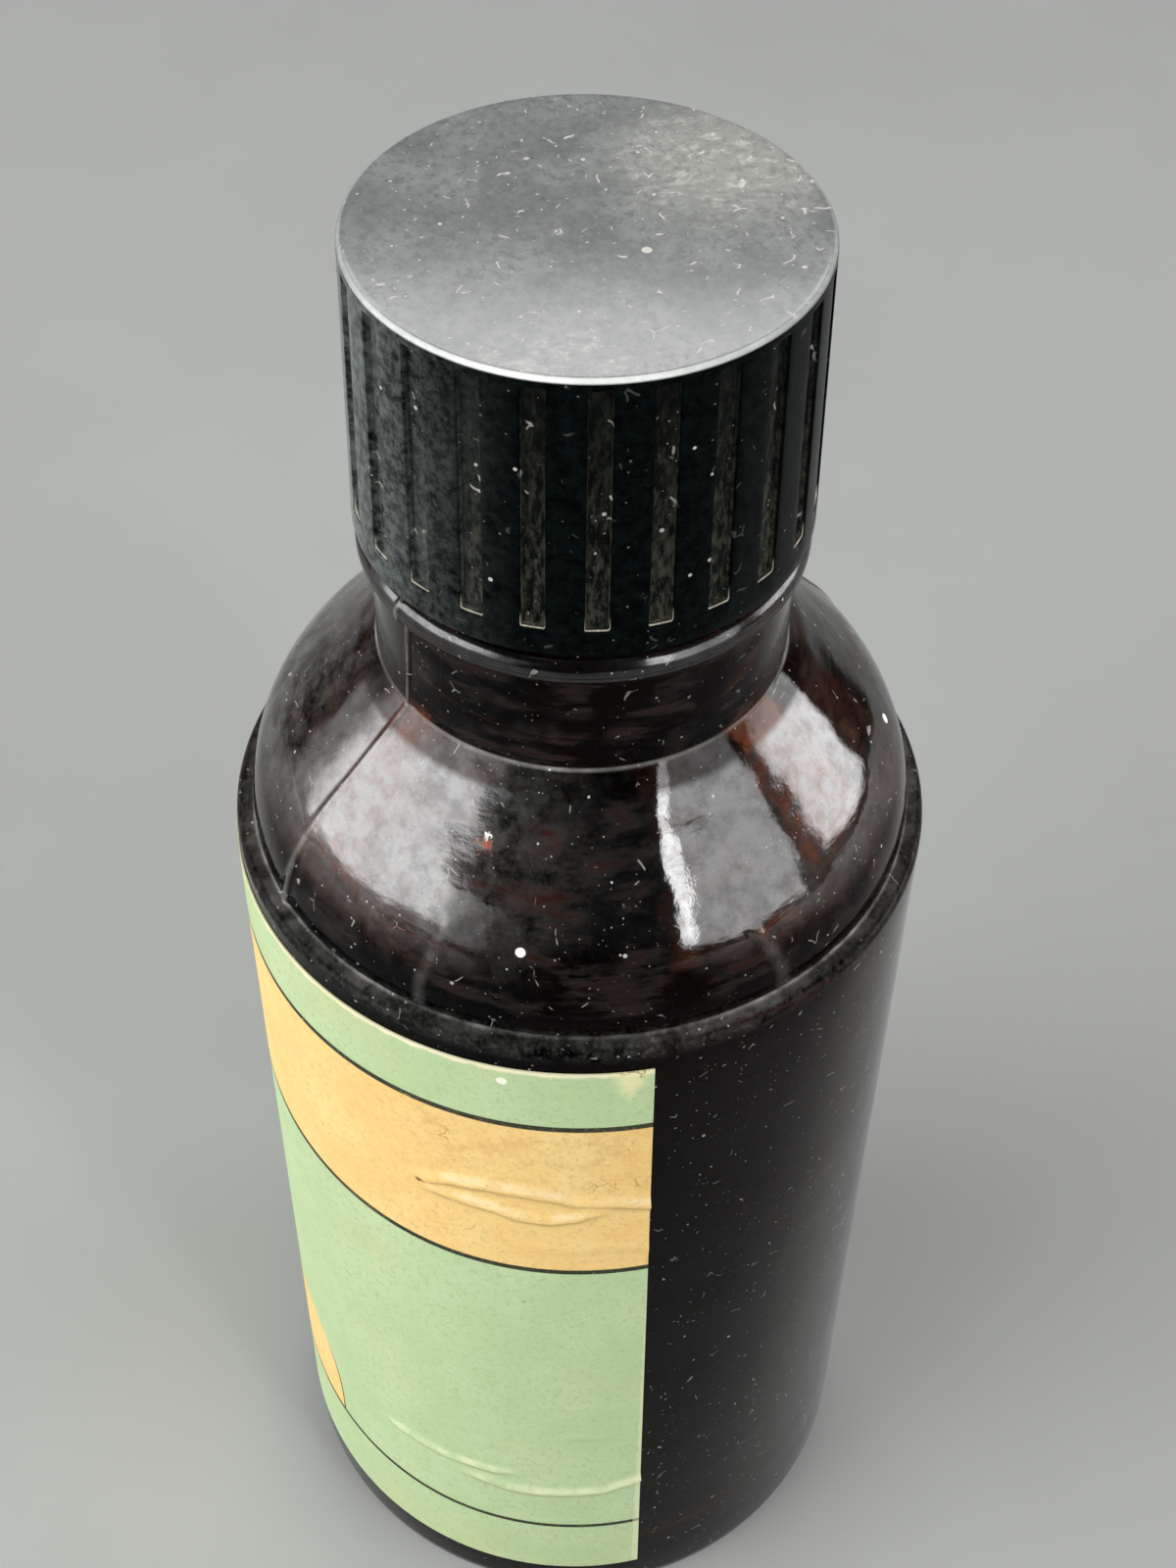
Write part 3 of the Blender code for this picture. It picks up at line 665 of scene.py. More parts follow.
# Two glasses, mixed: one for the upright walls, lightly dulled by grime, whose reflections are
# turned down and greyed as painted shade, and a glossy one for the shoulder, the bead and
# whatever is seen at a glancing angle
smears = place.noise(14.0, 4.0, 0.6).ramp(0.4, 0.8)
on_bead = height.ramp(105.9, 106.4) * height.ramp(109.0, 108.7)
on_edge = height.near(LEDGE_HEIGHT - 0.3, 1.0) * outer
glancing = place.add("ShaderNodeLayerWeight", {}, {"Blend": 0.5}, "Facing").ramp(0.57, 0.93)
gloss = (facing_up - azimuth.near(*LATE_GLOSS) * 0.12).ramp(0.28, 0.50)
gloss = gloss * above_step * (1 - height.ramp(neck_foot - 1.7, neck_foot - 1.2) * 0.75)
gloss = gloss.most(on_bead * 0.7)
gloss = gloss * (place.noise(1.6, 6.0, 0.75).ramp(0.32, 0.64) * 0.42 + 0.60)
amber = place.noise(20.0).blend(*AMBER)
# Painted shade: a darker band of amber just below the neck
shade_below_neck = height.ramp(neck_foot - 3.2, neck_foot - 1.4) * height.ramp(neck_foot + 0.6, neck_foot)
amber = (shade_below_neck * 0.75).blend(amber, SHADED_AMBER_BELOW_NECK)
smeared = smears * 0.07 + film * 0.4 + on_bead * 0.10 + on_edge * 0.25 + 0.04
deep = place.noise(20.0).blend(*DEEP_AMBER)
glasses = []
for colour, (index, tint) in ((amber, SHADED_UPRIGHT_GLASS), (deep, GLOSSY)):
    glasses.append(place.add("ShaderNodeBsdfPrincipled", {}, {
        "Base Color": colour,
        "Roughness": smeared,
        "IOR": index,
        "Specular Tint": tint,
        "Transmission Weight": 1.0,
        "Normal": relief,
    }))
glossy_share = gloss.most(glancing)
glass = place.add("ShaderNodeMixShader", {}, {0: glossy_share, 1: glasses[0], 2: glasses[1]})
# The dust coat over the glass, which also carries its painted highlights and glints
dust_and_glint_shader = place.add("ShaderNodeBsdfPrincipled", {}, {
    "Base Color": dust_and_glint_colour,
    "Roughness": fine * 0.1 + 0.85,
    "Normal": relief,
})
close_material(look, place.add("ShaderNodeMixShader", {}, {0: dust_and_glints, 1: glass, 2: dust_and_glint_shader}))

shell = Shell()
angles = glass_angles()
below = add_outside(shell, angles, outside)
above = shell.turn(angles, glass_inside(neck_foot))[0]
shell.thread(angles, below, above, FINISH_RADIUS, 1, THREAD_START)
glass_bottle = shell.piece("bottle_glass", look)
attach(glass_bottle, "bottle")
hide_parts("glass_bottle")


# --------------------------------------------------
# Label: one sheet of printed paper glued round half of the body, cut a little askew.
# It has yellowed, and lifted into small creases that run round from its right edge.
# --------------------------------------------------

LABEL_FOOT = 6.9
LABEL_HEAD = 81.1
LABEL_LEFT = -90.0
LABEL_RIGHT_FOOT = 91.0
LABEL_RIGHT_HEAD = 89.0
LABEL_BACK_RADIUS = 24.54
LABEL_PAPER = 0.12
LABEL_TOP_RADIUS = 24.99
LABEL_COLUMNS = 220
LABEL_ROWS = 190
UPPER_RULE = 74.8
MIDDLE_RULE = 56.62
LOWER_RULE = 14.97
RULE_RISE = 0.85
RULE_WIDTH = 0.66
GREEN = (0.395, 0.530, 0.277, 1)
PALE_GREEN = (0.50, 0.62, 0.365, 1)
TAN = (0.775, 0.485, 0.155, 1)
PALE_TAN = (0.86, 0.64, 0.275, 1)
INK = (0.016, 0.018, 0.008, 1)
CREAM = (0.86, 0.80, 0.56, 1)
STAIN = (0.22, 0.10, 0.03, 1)
PIT_BROWN = (0.24, 0.21, 0.08, 1)
# Brown of the dirt and painted shade under the creases
CREASE_DIRT_AND_SHADE = (0.36, 0.22, 0.08, 1)
CORNER_YELLOW = (0.84, 0.78, 0.42, 1)
AGED_TAN = (0.66, 0.50, 0.20, 1)
BLUSH_BROWN = (0.50, 0.27, 0.09, 1)
GRIME = (0.20, 0.15, 0.07, 1)
FLECK = (0.90, 0.88, 0.76, 1)
BROWN_SPOT = (19.00, -15.60, 64.90)
PALE_SPOT = (22.60, -10.30, 79.70)
# Cracks in the print: a height at the right edge, and an azimuth and height further in
EDGE_CRACKS = 67.9
INNER_CRACKS = (55.5, 71.5)
PATCH_HALF = (22.4, 11.0)
# Creases: height in mm, half width in mm, and points of (azimuth, height)
CREASES = (
    (0.33, 0.60, (
        (47.0, 64.8), (50.6, 65.3), (57.9, 66.4), (63.0, 66.8), (67.9, 66.8), (72.8, 66.6),
        (77.6, 66.0), (82.4, 65.8), (91.0, 65.0),
    )),
    (0.30, 0.55, (
        (48.0, 64.0), (54.2, 64.4), (62.9, 64.2), (67.8, 63.6), (72.7, 63.5), (76.8, 63.9),
        (80.0, 64.5), (84.5, 64.9),
    )),
    (0.12, 0.70, ((66.0, 60.2), (74.0, 59.6), (82.0, 60.0), (91.0, 59.2))),
    (0.30, 0.42, (
        (36.0, 23.2), (42.2, 23.6), (47.0, 23.5), (51.5, 23.4), (56.8, 23.6), (61.9, 23.6),
        (68.0, 24.0),
    )),
    (0.32, 0.50, (
        (54.0, 21.6), (60.8, 21.5), (64.8, 21.1), (70.7, 21.1), (76.5, 21.3), (82.3, 21.5),
        (88.1, 22.3), (91.0, 22.9),
    )),
    (0.10, 0.45, ((72.0, 30.8), (78.2, 31.1), (83.0, 31.0), (87.0, 31.3))),
    (0.09, 0.50, ((70.0, 36.0), (78.1, 35.8), (84.0, 36.1))),
    (0.16, 0.60, ((-60.0, 40.0), (-48.0, 41.5), (-36.0, 40.4), (-24.0, 41.0))),
    (0.18, 0.60, ((-90.5, 66.0), (-80.0, 64.8), (-68.0, 65.4), (-57.0, 64.6))),
)


def label_relief(azimuth, height):
    """How far the paper stands off the glass at a place, for its creases."""
    lift = 0.0
    for crest, reach, path in CREASES:
        if not path[0][0] <= azimuth <= path[-1][0]:
            continue
        for (a0, z0), (a1, z1) in zip(path, path[1:]):
            if a0 <= azimuth <= a1:
                off = (height - z0 - (z1 - z0) * eased((azimuth - a0) / (a1 - a0))) / reach
        ends = min(1.0, (azimuth - path[0][0]) / 6)
        if path[-1][0] < LABEL_RIGHT_HEAD:
            ends = min(ends, (path[-1][0] - azimuth) / 6)
        lift = max(lift, crest * ends * math.exp(-off * off))
    return lift


look, place = new_material("printed_paper")
height = place.part(2)
azimuth = place.azimuth()
along = azimuth * math.radians(BODY_RADIUS)
wander = place.noise(1.3, 3.0) * 0.24 - 0.12

mottle = place.noise(7.0, 5.0, 0.62).ramp(0.36, 0.70)
fibres = (place * (1.0, 1.0, 2.2)).noise(0.45, 4.0, 0.7).ramp(0.3, 0.7)
grain = mottle * 0.45 + fibres * 0.35 + place.noise(1.1, 4.0, 0.7).ramp(0.3, 0.7) * 0.2
green = grain.blend(GREEN, PALE_GREEN)
tan = grain.blend(TAN, PALE_TAN)
level = height - azimuth.ramp(58.0, 6.0) * RULE_RISE
in_band = (level + wander * 0.2).ramp(MIDDLE_RULE - 0.05, MIDDLE_RULE + 0.05)
in_band = in_band * (height + wander * 0.2).ramp(UPPER_RULE + 0.05, UPPER_RULE - 0.05)
over_rule = level - LOWER_RULE
patch = abs(azimuth / PATCH_HALF[0]) ** 3 + abs(over_rule / PATCH_HALF[1]) ** 3
patch = patch ** (1 / 3)
in_patch = patch.ramp(1.005, 0.995) * over_rule.ramp(0.0, 0.05)
fold = place.add("ShaderNodeAttribute", {"attribute_name": "fold"}, {}, "Fac")
paper = in_band.most(in_patch).blend(green, tan)

# Ink: three rules right across and a thin outline round the plain patch on the lowest
edge = RULE_WIDTH / 2
rules = height.near(UPPER_RULE, edge + 0.06).most(level.near(MIDDLE_RULE, edge + 0.06))
rules = rules.most(level.near(LOWER_RULE, edge + 0.04))
rules = rules.most(patch.near(1.0, 0.015) * over_rule.ramp(0.0, 0.1) * over_rule.ramp(10.0, 5.0))
worn = place.noise(0.5, 3.0, 0.7).ramp(0.30, 0.42) * 0.25 + 0.75
paper = (rules.ramp(0.05, 0.35) * worn).blend(paper, INK)
pitted = place.noise(0.5, 3.0, 0.7).ramp(0.50, 0.70) * (mottle * 0.5 + 0.5)
paper = (pitted * 0.34).blend(paper, PIT_BROWN)

# Age and painted light: dirt and painted shade under the creases, painted highlights on their
# crests, rubbed edges, brown stains and a few pale flecks
dirt_and_shade_under_crease = fold.ramp(0.04, 0.55) * (place.noise(2.0, 3.0).ramp(0.2, 0.6) * 0.5 + 0.5)
paper = (dirt_and_shade_under_crease * 0.7).blend(paper, CREASE_DIRT_AND_SHADE)
# Painted highlight: cream along the crest of each crease
crest = fold.ramp(-0.02, -0.45) * place.noise(2.6, 2.0).ramp(0.3, 0.6)
paper = (crest * 0.42).blend(paper, CREAM)
top_gap = LABEL_HEAD - height
side_gap = (90.0 - azimuth) * math.radians(BODY_RADIUS)
rubbed = (top_gap + wander * 3).ramp(0.55, 0.20)
rubbed = rubbed.most((side_gap + wander * 2).ramp(0.22, 0.06) * 0.4)
paper = (rubbed * 0.85).blend(paper, CREAM)
corner = (top_gap * 0.35 + abs(side_gap - 2.0) * 0.9 + wander * 4).ramp(1.6, 0.5)
paper = (corner * 0.7).blend(paper, CORNER_YELLOW)
crackle = (place + place.noise(0.8, 2.0) * 1.2).cells(1.5, "DISTANCE_TO_EDGE").ramp(0.05, 0.0)
cracked = (top_gap + abs(side_gap - 1.6)).ramp(1.6, 0.5)
cracked = cracked.most(height.near(EDGE_CRACKS, 1.0) * side_gap.ramp(6.5, 3.5) * 0.8)
cracked = cracked.most(height.near(INNER_CRACKS[1], 2.4) * azimuth.near(INNER_CRACKS[0], 3.2))
paper = (crackle * cracked * 0.75).blend(paper, STAIN)
aged = place.noise(15.0, 3.0, 0.6).ramp(0.50, 0.74) * 0.16
paper = aged.blend(paper, AGED_TAN)
foxing = place.specks(2.6, 0.20, 0.22) * place.noise(12.0).ramp(0.45, 0.62)
spot = (place - BROWN_SPOT).length() + place.noise(0.35, 2.0) * 0.8
foxing = (foxing * 0.55).most(spot.ramp(0.85, 0.65))
upper = height.ramp(66.0, 68.0) * height.ramp(75.0, 73.0) * azimuth.ramp(46.0, 52.0)
dots = place.specks(0.8, 0.12, 0.55) * upper * place.noise(4.0).ramp(0.42, 0.6)
foxing = foxing.most(dots * 0.65)
paper = foxing.blend(paper, STAIN)
blush = place.noise(1.8, 4.0, 0.7).ramp(0.48, 0.66) * upper * 0.32
paper = blush.blend(paper, BLUSH_BROWN)
grime = place.hairs(6.0, 0.05, 0.30) * 0.35 + place.noise(0.25, 2.0).ramp(0.60, 0.8) * 0.16
paper = grime.blend(paper, GRIME)
flecks = place.specks(6.0, 0.18, 0.20)
flecks = flecks.most((place - PALE_SPOT).length().ramp(0.46, 0.36))
paper = (flecks * 0.8).blend(paper, FLECK)

relief = place.noise(4.5, 3.0, 0.55).bump(0.07)
relief = place.noise(0.40, 4.0, 0.7).bump(0.035, relief)
relief = (corner + rubbed * 0.5).bump(0.05, relief)
shader = place.add("ShaderNodeBsdfPrincipled", {}, {
    "Base Color": paper,
    "Roughness": fibres * 0.12 + 0.62,
    "Specular IOR Level": 0.35,
    "Normal": relief,
})
close_material(look, shader)

shell = Shell()
outer, inner = [], []
for row in range(LABEL_ROWS + 1):
    share = row / LABEL_ROWS
    z = LABEL_FOOT + (LABEL_HEAD - LABEL_FOOT) * share
    right = LABEL_RIGHT_FOOT + (LABEL_RIGHT_HEAD - LABEL_RIGHT_FOOT) * share
    outer_row, inner_row = [], []
    for column in range(LABEL_COLUMNS + 1):
        a = LABEL_LEFT + (right - LABEL_LEFT) * column / LABEL_COLUMNS
        lift = label_relief(a, z)
        turned = math.radians(a - 90)
        top = min(LABEL_TOP_RADIUS, LABEL_BACK_RADIUS + LABEL_PAPER + lift)
        for target, radius in ((outer_row, top), (inner_row, top - LABEL_PAPER)):
            target.append(shell.point(radius, turned, z))
    outer.append(outer_row)
    inner.append(inner_row)
for sheet in (outer, inner):
    for low, high in zip(sheet, sheet[1:]):
        for k in range(LABEL_COLUMNS):
            shell.faces.append((low[k], low[k + 1], high[k + 1], high[k]))
rim = [
    (outer[0], inner[0]), (outer[-1], inner[-1]),
    ([row[0] for row in outer], [row[0] for row in inner]),
    ([row[-1] for row in outer], [row[-1] for row in inner]),
]
for front, back in rim:
    for k in range(len(front) - 1):
        shell.faces.append((front[k], front[k + 1], back[k + 1], back[k]))
label = shell.piece("label_sheet", look)

# The slope of the paper up and down, kept on its points: above 0 where a crease overhangs
fold = label.data.attributes.new("fold", "FLOAT", "POINT")
slopes = []
for x, y, z in shell.points:
    a = math.degrees(math.atan2(x, -y))
    slopes.append((label_relief(a, z + 0.1) - label_relief(a, z - 0.1)) / 0.2)
fold.data.foreach_set("value", slopes)
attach(label, "bottle")
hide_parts("paper_label")


# --------------------------------------------------
# Liner: two discs cut from sheet, pushed into the cap and held there by friction.
# The pulpboard is grey-brown and fibrous, and the waxed facing carries the lip's print.
# --------------------------------------------------

LINER_RADIUS = 11.95
LINER_ROUND = 0.1
LINER_COLUMNS = 120
LINER_RINGS = 8
FACING_FOOT, FACING_HEAD = 125.5, 125.8
BACKING_FOOT, BACKING_HEAD = 126.1, 127.1
LIP_PRINT_RADIUS = 9.4
WAXED_TONES = ((0.70, 0.67, 0.58, 1), (0.80, 0.78, 0.71, 1))
LIP_PRINT_BROWN = (0.34, 0.22, 0.10, 1)
LINER_STAIN = (0.45, 0.30, 0.13, 1)
PULP_TONES = ((0.30, 0.24, 0.16, 1), (0.46, 0.39, 0.28, 1))
PULP_SPECK = (0.12, 0.09, 0.06, 1)


def disc(foot, head):
    """Profile of a disc with eased edges, and rings enough for its relief."""
    flat = LINER_RADIUS - LINER_ROUND
    lower = [(flat * k / LINER_RINGS, foot) for k in range(LINER_RINGS + 1)]
    upper = [(flat * k / LINER_RINGS, head) for k in range(LINER_RINGS, -1, -1)]
    return lower + [(LINER_RADIUS, foot + LINER_ROUND), (LINER_RADIUS, head - LINER_ROUND)] + upper


look, place = new_material("waxed_paper")
print_ring = place.across().near(LIP_PRINT_RADIUS, 1.5)
mottle = place.noise(3.0, 4.0, 0.6).ramp(0.35, 0.7)
tone = mottle.blend(*WAXED_TONES)
tone = (print_ring * 0.6 * place.noise(1.2, 3.0).ramp(0.3, 0.6)).blend(tone, LIP_PRINT_BROWN)
stain = place.noise(6.0, 3.0, 0.6).ramp(0.55, 0.75) * 0.5
tone = stain.blend(tone, LINER_STAIN)
relief = (1 - print_ring).bump(0.08, place.noise(0.5, 3.0).bump(0.01))
shader = place.add("ShaderNodeBsdfPrincipled", {}, {
    "Base Color": tone,
    "Roughness": mottle * 0.2 + 0.35,
    "Normal": relief,
})
close_material(look, shader)
shell = Shell()
shell.turn(even_angles(LINER_COLUMNS), disc(FACING_FOOT, FACING_HEAD))
facing = shell.piece("liner_facing_disc", look)
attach(facing, "liner")
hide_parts("liner_facing")

look, place = new_material("grey_pulpboard")
fibres = (place * (1.0, 0.3, 1.0)).noise(0.30, 4.0, 0.7).ramp(0.3, 0.7)
tone = fibres.blend(*PULP_TONES)
tone = (place.specks(1.2, 0.12, 0.4) * 0.7).blend(tone, PULP_SPECK)
shader = place.add("ShaderNodeBsdfPrincipled", {}, {
    "Base Color": tone,
    "Roughness": fibres * 0.1 + 0.85,
    "Normal": fibres.bump(0.04),
})
close_material(look, shader)
shell = Shell()
shell.turn(even_angles(LINER_COLUMNS), disc(BACKING_FOOT, BACKING_HEAD))
backing = shell.piece("liner_backing_disc", look)
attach(backing, "liner")
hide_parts("liner_backing")


# --------------------------------------------------
# Screw cap: black phenolic, moulded in one piece with 24 flat-bottomed flutes and its thread.
# Its top is scuffed grey, its upper edge rubbed pale and painted with a bright highlight at
# the front, and brown dust has settled in the flutes and on the sill at the foot of each.
# --------------------------------------------------

CAP_FOOT = 109.15
CAP_HEAD = 129.2
CAP_TOP_RADIUS = 14.36
CAP_SKIRT_RADIUS = 14.71
CAP_BORE_RADIUS = 12.25
CAP_CEILING = 127.4
CAP_CORNER = 0.6
CAP_RIM_ROUND = 0.3
CAP_MOUTH = 0.4
CAP_BEVEL = 0.35
CAP_BORE_COLUMNS = 120
FLUTE_COUNT = 24
FLUTE_PHASE = 5.5
FLUTE_DEPTH = 0.45
FLUTE_FOOT = 111.25
FLUTE_HEAD = 128.5
FLUTE_END = 0.15
FLUTE_LEDGE = 0.08
PHENOLIC = ((0.0001, 0.0004, 0.0005, 1), (0.0020, 0.0044, 0.0042, 1))
LAND_SHEEN = (0.34, 0.40, 0.39, 1)
FLUTE_DUST = (0.13, 0.13, 0.095, 1)
FLUTE_LIP_DUST = (0.26, 0.24, 0.17, 1)
SILL_DUST = (0.62, 0.58, 0.47, 1)
TOP_FILM = ((0.205, 0.217, 0.216, 1), (0.46, 0.47, 0.46, 1))
WORN_FILM = (0.54, 0.55, 0.49, 1)
FEATHER = (0.70, 0.70, 0.62, 1)
FILM_GAP = (0.08, 0.088, 0.088, 1)
RUBBED_AND_LIT_EDGE = (0.95, 0.97, 0.94, 1)
LINT = (0.82, 0.81, 0.75, 1)
WORN_RIGHT = (-5.0, 9.5, 129.2)
WORN_LEFT = (13.2, -4.6, 129.2)
TOP_SPECK = (3.01, 2.76, 129.2)
# Azimuth and reach of the painted sheen on the lands, the painted highlight on the rim and the
# two glossy stretches
SHEENED_LANDS = (4.0, 62.0)
RIM_HIGHLIGHT = (66.0, 80.0)
GLOSSY_LEFT = (0.0, 62.0)
GLOSSY_RIGHT = (128.0, 36.0)
# Columns across one flute and half of the land on each side: degrees, share of the depth
FLUTE_COLUMNS = (
    (-7.5, 0), (-5.0, 0), (-3.5, 0), (-3.12, 0.03), (-2.96, 0.16), (-2.64, 0.84), (-2.5, 0.96),
    (-2.2, 1), (0.0, 1),
    (2.2, 1), (2.5, 0.96), (2.64, 0.84), (2.96, 0.16), (3.12, 0.03), (3.5, 0), (5.0, 0),
)


def cap_side(height):
    share = (height - CAP_FOOT) / (CAP_HEAD - CAP_FOOT)
    return CAP_SKIRT_RADIUS + (CAP_TOP_RADIUS - CAP_SKIRT_RADIUS) * share


def build_cap(look):
    shell = Shell()
    bore_angles = even_angles(CAP_BORE_COLUMNS)
    start = THREAD_START - THREAD_PITCH / 2
    corner = (CAP_BORE_RADIUS - CAP_CORNER, CAP_CEILING - CAP_CORNER)
    ceiling = [(corner[0] * k / 5, CAP_CEILING) for k in range(5)]
    ceiling += arc(corner, CAP_CORNER, 90, 0, 6)
    ceiling.append((CAP_BORE_RADIUS, start + THREAD_PITCH * THREAD_TURNS + THREAD_WIDTH / 2))
    above = shell.turn(bore_angles, ceiling)[-1]
    mouth = [
        (CAP_BORE_RADIUS, start - THREAD_WIDTH),
        (CAP_BORE_RADIUS, CAP_FOOT + CAP_MOUTH),
        (CAP_BORE_RADIUS + CAP_MOUTH, CAP_FOOT),
    ]
    mouth_rings = shell.turn(bore_angles, mouth)
    shell.thread(bore_angles, mouth_rings[0], above, CAP_BORE_RADIUS, -1, start)

    columns = []
    for k in range(FLUTE_COUNT):
        middle = FLUTE_PHASE - 90 + k * 360 / FLUTE_COUNT
        columns += [(math.radians(middle + turned), depth) for turned, depth in FLUTE_COLUMNS]

    # Rows up the side: height, inset of the edge rounds, share of the flutes' depth
    rows = [
        (CAP_FOOT, CAP_RIM_ROUND, 0), (CAP_FOOT + 0.04, 0.15, 0), (CAP_FOOT + 0.13, 0.04, 0),
        (CAP_FOOT + CAP_RIM_ROUND, 0, 0), (CAP_FOOT + 0.9, 0, 0), (FLUTE_FOOT - 0.12, 0, 0),
        (FLUTE_FOOT - 0.03, 0, 0.04), (FLUTE_FOOT + FLUTE_END, 0, 0.9),
        (FLUTE_FOOT + FLUTE_END + FLUTE_LEDGE, 0, 1),
    ]
    foot, head = FLUTE_FOOT + 0.5, FLUTE_HEAD - 0.5
    rows += [(foot + (head - foot) * k / 6, 0, 1) for k in range(7)]
    rows += [
        (FLUTE_HEAD - FLUTE_END - FLUTE_LEDGE, 0, 1), (FLUTE_HEAD - FLUTE_END, 0, 0.9),
        (FLUTE_HEAD - 0.03, 0, 0.04), (FLUTE_HEAD + 0.06, 0, 0), (CAP_HEAD - CAP_BEVEL - 0.1, 0, 0),
    ]
    bevel = [math.radians(t) for t in (0, 18, 36, 54, 72, 90)]
    rows += [
        (CAP_HEAD - CAP_BEVEL * (1 - math.sin(t)), CAP_BEVEL * (1 - math.cos(t)), 0) for t in bevel
    ]
    rings = []
    for z, inset, fluted in rows:
        radius = cap_side(z) - inset
        rings.append([
            shell.point(radius - FLUTE_DEPTH * depth * fluted, a, z) for a, depth in columns
        ])
    top = cap_side(CAP_HEAD) - CAP_BEVEL
    for share in (0.985, 0.9, 0.7, 0.45, 0.2):
        rings.append(shell.ring([a for a, depth in columns], top * share, CAP_HEAD))
    for first, second in zip(rings, rings[1:]):
        shell.join(first, second)
    shell.fan(rings[-1], CAP_HEAD)
    bridge(shell, mouth_rings[-1], rings[0])
    return shell.piece("cap_shell", look)


def bridge(shell, inner, outer):
    """Fill the flat rim between two rings with different numbers of points."""
    def angle(k):
        x, y, z = shell.points[k]
        return math.atan2(y, x) % math.tau

    inner = sorted(inner, key=angle)
    outer = sorted(outer, key=angle)
    i = j = 0
    while i < len(inner) or j < len(outer):
        next_inner = angle(inner[(i + 1) % len(inner)]) + (math.tau if i + 1 >= len(inner) else 0)
        next_outer = angle(outer[(j + 1) % len(outer)]) + (math.tau if j + 1 >= len(outer) else 0)
        a, b = inner[i % len(inner)], outer[j % len(outer)]
        if j == len(outer) or (i < len(inner) and next_inner < next_outer):
            shell.faces.append((a, b, inner[(i + 1) % len(inner)]))
            i += 1
        else:
            shell.faces.append((a, b, outer[(j + 1) % len(outer)]))
            j += 1


look, place = new_material("black_phenolic")
height = place.part(2)
across = place.across()
azimuth = place.azimuth()
facing_up = place.add("ShaderNodeNewGeometry", {}, {}, "Normal").part(2)
taper = (CAP_TOP_RADIUS - CAP_SKIRT_RADIUS) / (CAP_HEAD - CAP_FOOT)
side = (height - CAP_FOOT) * taper + CAP_SKIRT_RADIUS
sunk = ((side - across) / FLUTE_DEPTH).ramp(0.25, 0.9)
between = height.ramp(FLUTE_FOOT - 0.2, FLUTE_FOOT) * height.ramp(FLUTE_HEAD + 0.1, FLUTE_HEAD)
in_flute = sunk * between
in_corner = ((side - across) / FLUTE_DEPTH).near(0.26, 0.17)
on_sill = in_corner * height.ramp(FLUTE_FOOT - 0.1, FLUTE_FOOT)
on_sill = on_sill * height.ramp(FLUTE_FOOT + 1.2, FLUTE_FOOT + 0.1)
on_top = facing_up.ramp(0.5, 0.95) * height.ramp(CAP_HEAD - 0.3, CAP_HEAD - 0.05)
on_edge = height.ramp(CAP_HEAD - 0.32, CAP_HEAD - 0.16) * facing_up.ramp(0.995, 0.94)

# Scuffs: a soft cloudy film on the top, thicker towards its right and front left edges
upright = place * (1.0, 1.0, 0.35)
cloud = place.noise(5.0, 5.0, 0.55).ramp(0.34, 0.72)
flaky = place.noise(0.7, 4.0, 0.7).ramp(0.36, 0.66)
worn_right = (place - WORN_RIGHT).length().ramp(9.5, 2.0)
worn_left = (place - WORN_LEFT).length().ramp(7.0, 1.0)
scuff = (cloud * 0.45 + worn_right * 0.2 + worn_left * 0.3 + flaky * 0.2).least(1.0)
feathers = (place * (1.0, 0.6, 1.0)).noise(0.85, 5.0, 0.78).ramp(0.48, 0.66)

# Dust: olive brown in the flutes, denser downwards, pale on the sills, with specks and hairs
streaks = upright.noise(0.42, 4.0, 0.72).ramp(0.42, 0.66)
settled = height.ramp(FLUTE_HEAD + 2, FLUTE_FOOT)
flute_dust = in_flute * (streaks * (settled * 0.5 + 0.08) + 0.03)
specks = place.specks(1.6, 0.15, 0.55).most(place.specks(0.7, 0.075, 0.5) * (on_top * 0.7 + 0.2))
specks = specks.most(place.specks(0.5, 0.05, 0.5) * (in_flute * 0.7 + on_top * 0.4))
hairs = place.hairs(2.6, 0.09, 0.36)
scratches = (place + (7.0, 3.0, 0.0)).hairs(1.7, 0.065, 0.35) * on_top
bits = specks * (facing_up.ramp(-0.5, 0.9) * 0.6 + 0.3)
bits = bits + hairs * (on_top * 0.95 + in_flute * 0.35 + 0.05) + scratches * 0.9
bits = bits.most((place - TOP_SPECK).length().ramp(0.34, 0.27))
lip = in_flute * ((side - across) / FLUTE_DEPTH).ramp(0.95, 0.55) * flaky * (settled * 0.8 + 0.2)

black = place.noise(0.9, 5.0, 0.75).ramp(0.36, 0.68)
black = black.blend(*PHENOLIC)
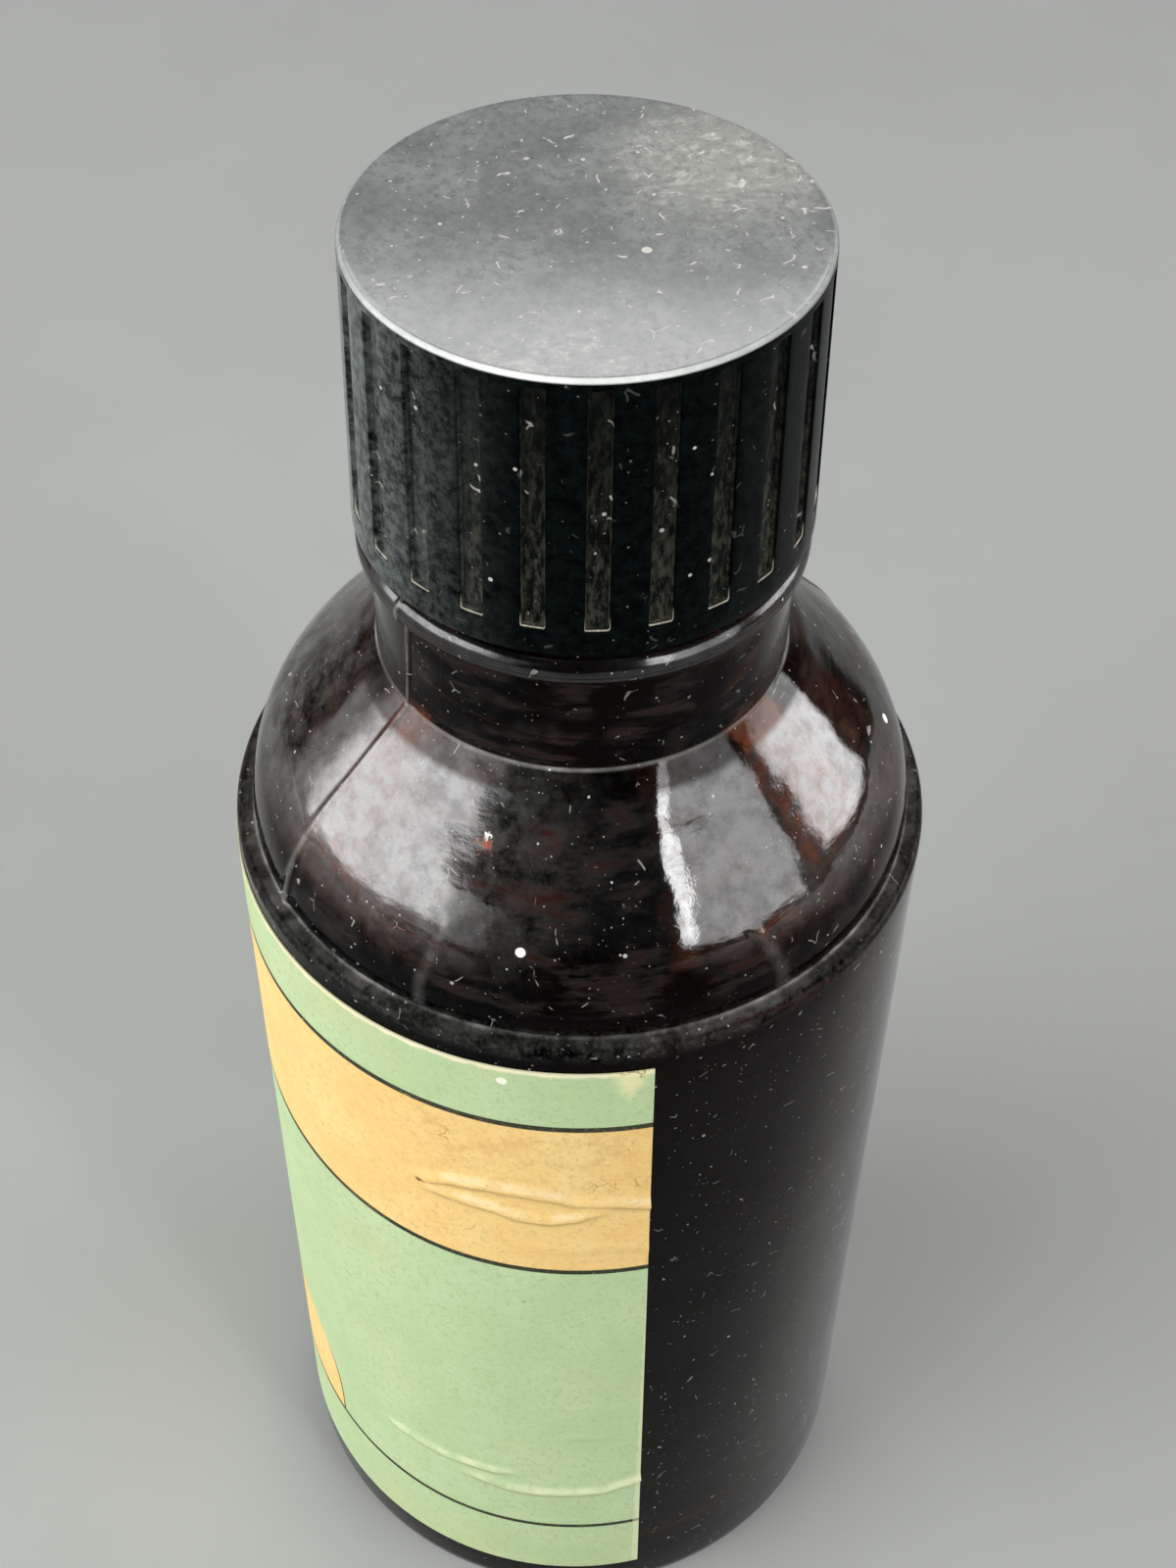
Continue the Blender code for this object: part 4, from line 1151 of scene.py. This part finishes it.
# Painted sheen: a pale mottled cast on the lands towards the left
black = (azimuth.near(*SHEENED_LANDS) * (flaky * 0.22 + cloud * 0.10)).blend(black, LAND_SHEEN)
tone = (flute_dust * 0.60).blend(black, FLUTE_DUST)
tone = (lip * 0.42).blend(tone, FLUTE_LIP_DUST)
tone = (on_sill * (flaky * 0.5 + 0.5)).blend(tone, SILL_DUST)
film = scuff.blend(*TOP_FILM)
film = (worn_right * 0.62).blend(film, WORN_FILM)
film = (feathers * worn_right.most(worn_left * 0.6)).blend(film, FEATHER)
gaps = place.noise(0.6, 4.0, 0.75).ramp(0.46, 0.64) * (cloud * 0.25 + 0.2)
film = gaps.blend(film, FILM_GAP)
tone = on_top.blend(tone, film)
# The upper edge is rubbed pale all round, with a painted highlight at the front
rim = on_edge * (azimuth.near(*RIM_HIGHLIGHT) * 0.75 + 0.25) * (cloud * 0.15 + flaky * 0.15 + 0.8)
tone = rim.blend(tone, RUBBED_AND_LIT_EDGE)
tone = bits.least(1.0).blend(tone, LINT)
turned_away = place.add("ShaderNodeLayerWeight", {}, {"Blend": 0.5}, "Facing")
glossy_lands = azimuth.near(*GLOSSY_LEFT) * 0.85 + azimuth.near(*GLOSSY_RIGHT) * 0.12 + 0.03
glancing = turned_away.ramp(0.28, 0.62) * glossy_lands * (flaky * 0.4 + 0.6)
sheen = (on_top * (1 - turned_away.ramp(0.50, 0.85) * 0.7)).most(glancing)
relief = place.noise(7.0, 1.0).bump(0.03)
relief = place.noise(0.25, 3.0, 0.6).bump(0.004, relief)
relief = (flute_dust + scuff * on_top * 0.3 + bits).bump(0.015, relief)
shader = place.add("ShaderNodeBsdfPrincipled", {}, {
    "Base Color": tone,
    "Roughness": (on_top * 0.2 + flute_dust * 0.4 + cloud * 0.05 + bits * 0.3 + 0.24).least(0.8),
    "Specular IOR Level": 0.02,
    "Coat Weight": sheen * (1 - bits.least(1.0)) * (1.0 - scuff * 0.25),
    "Coat Roughness": 0.09,
    "Normal": relief,
})
close_material(look, shader)
cap = build_cap(look)
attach(cap, "cap")
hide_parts("screw_cap")
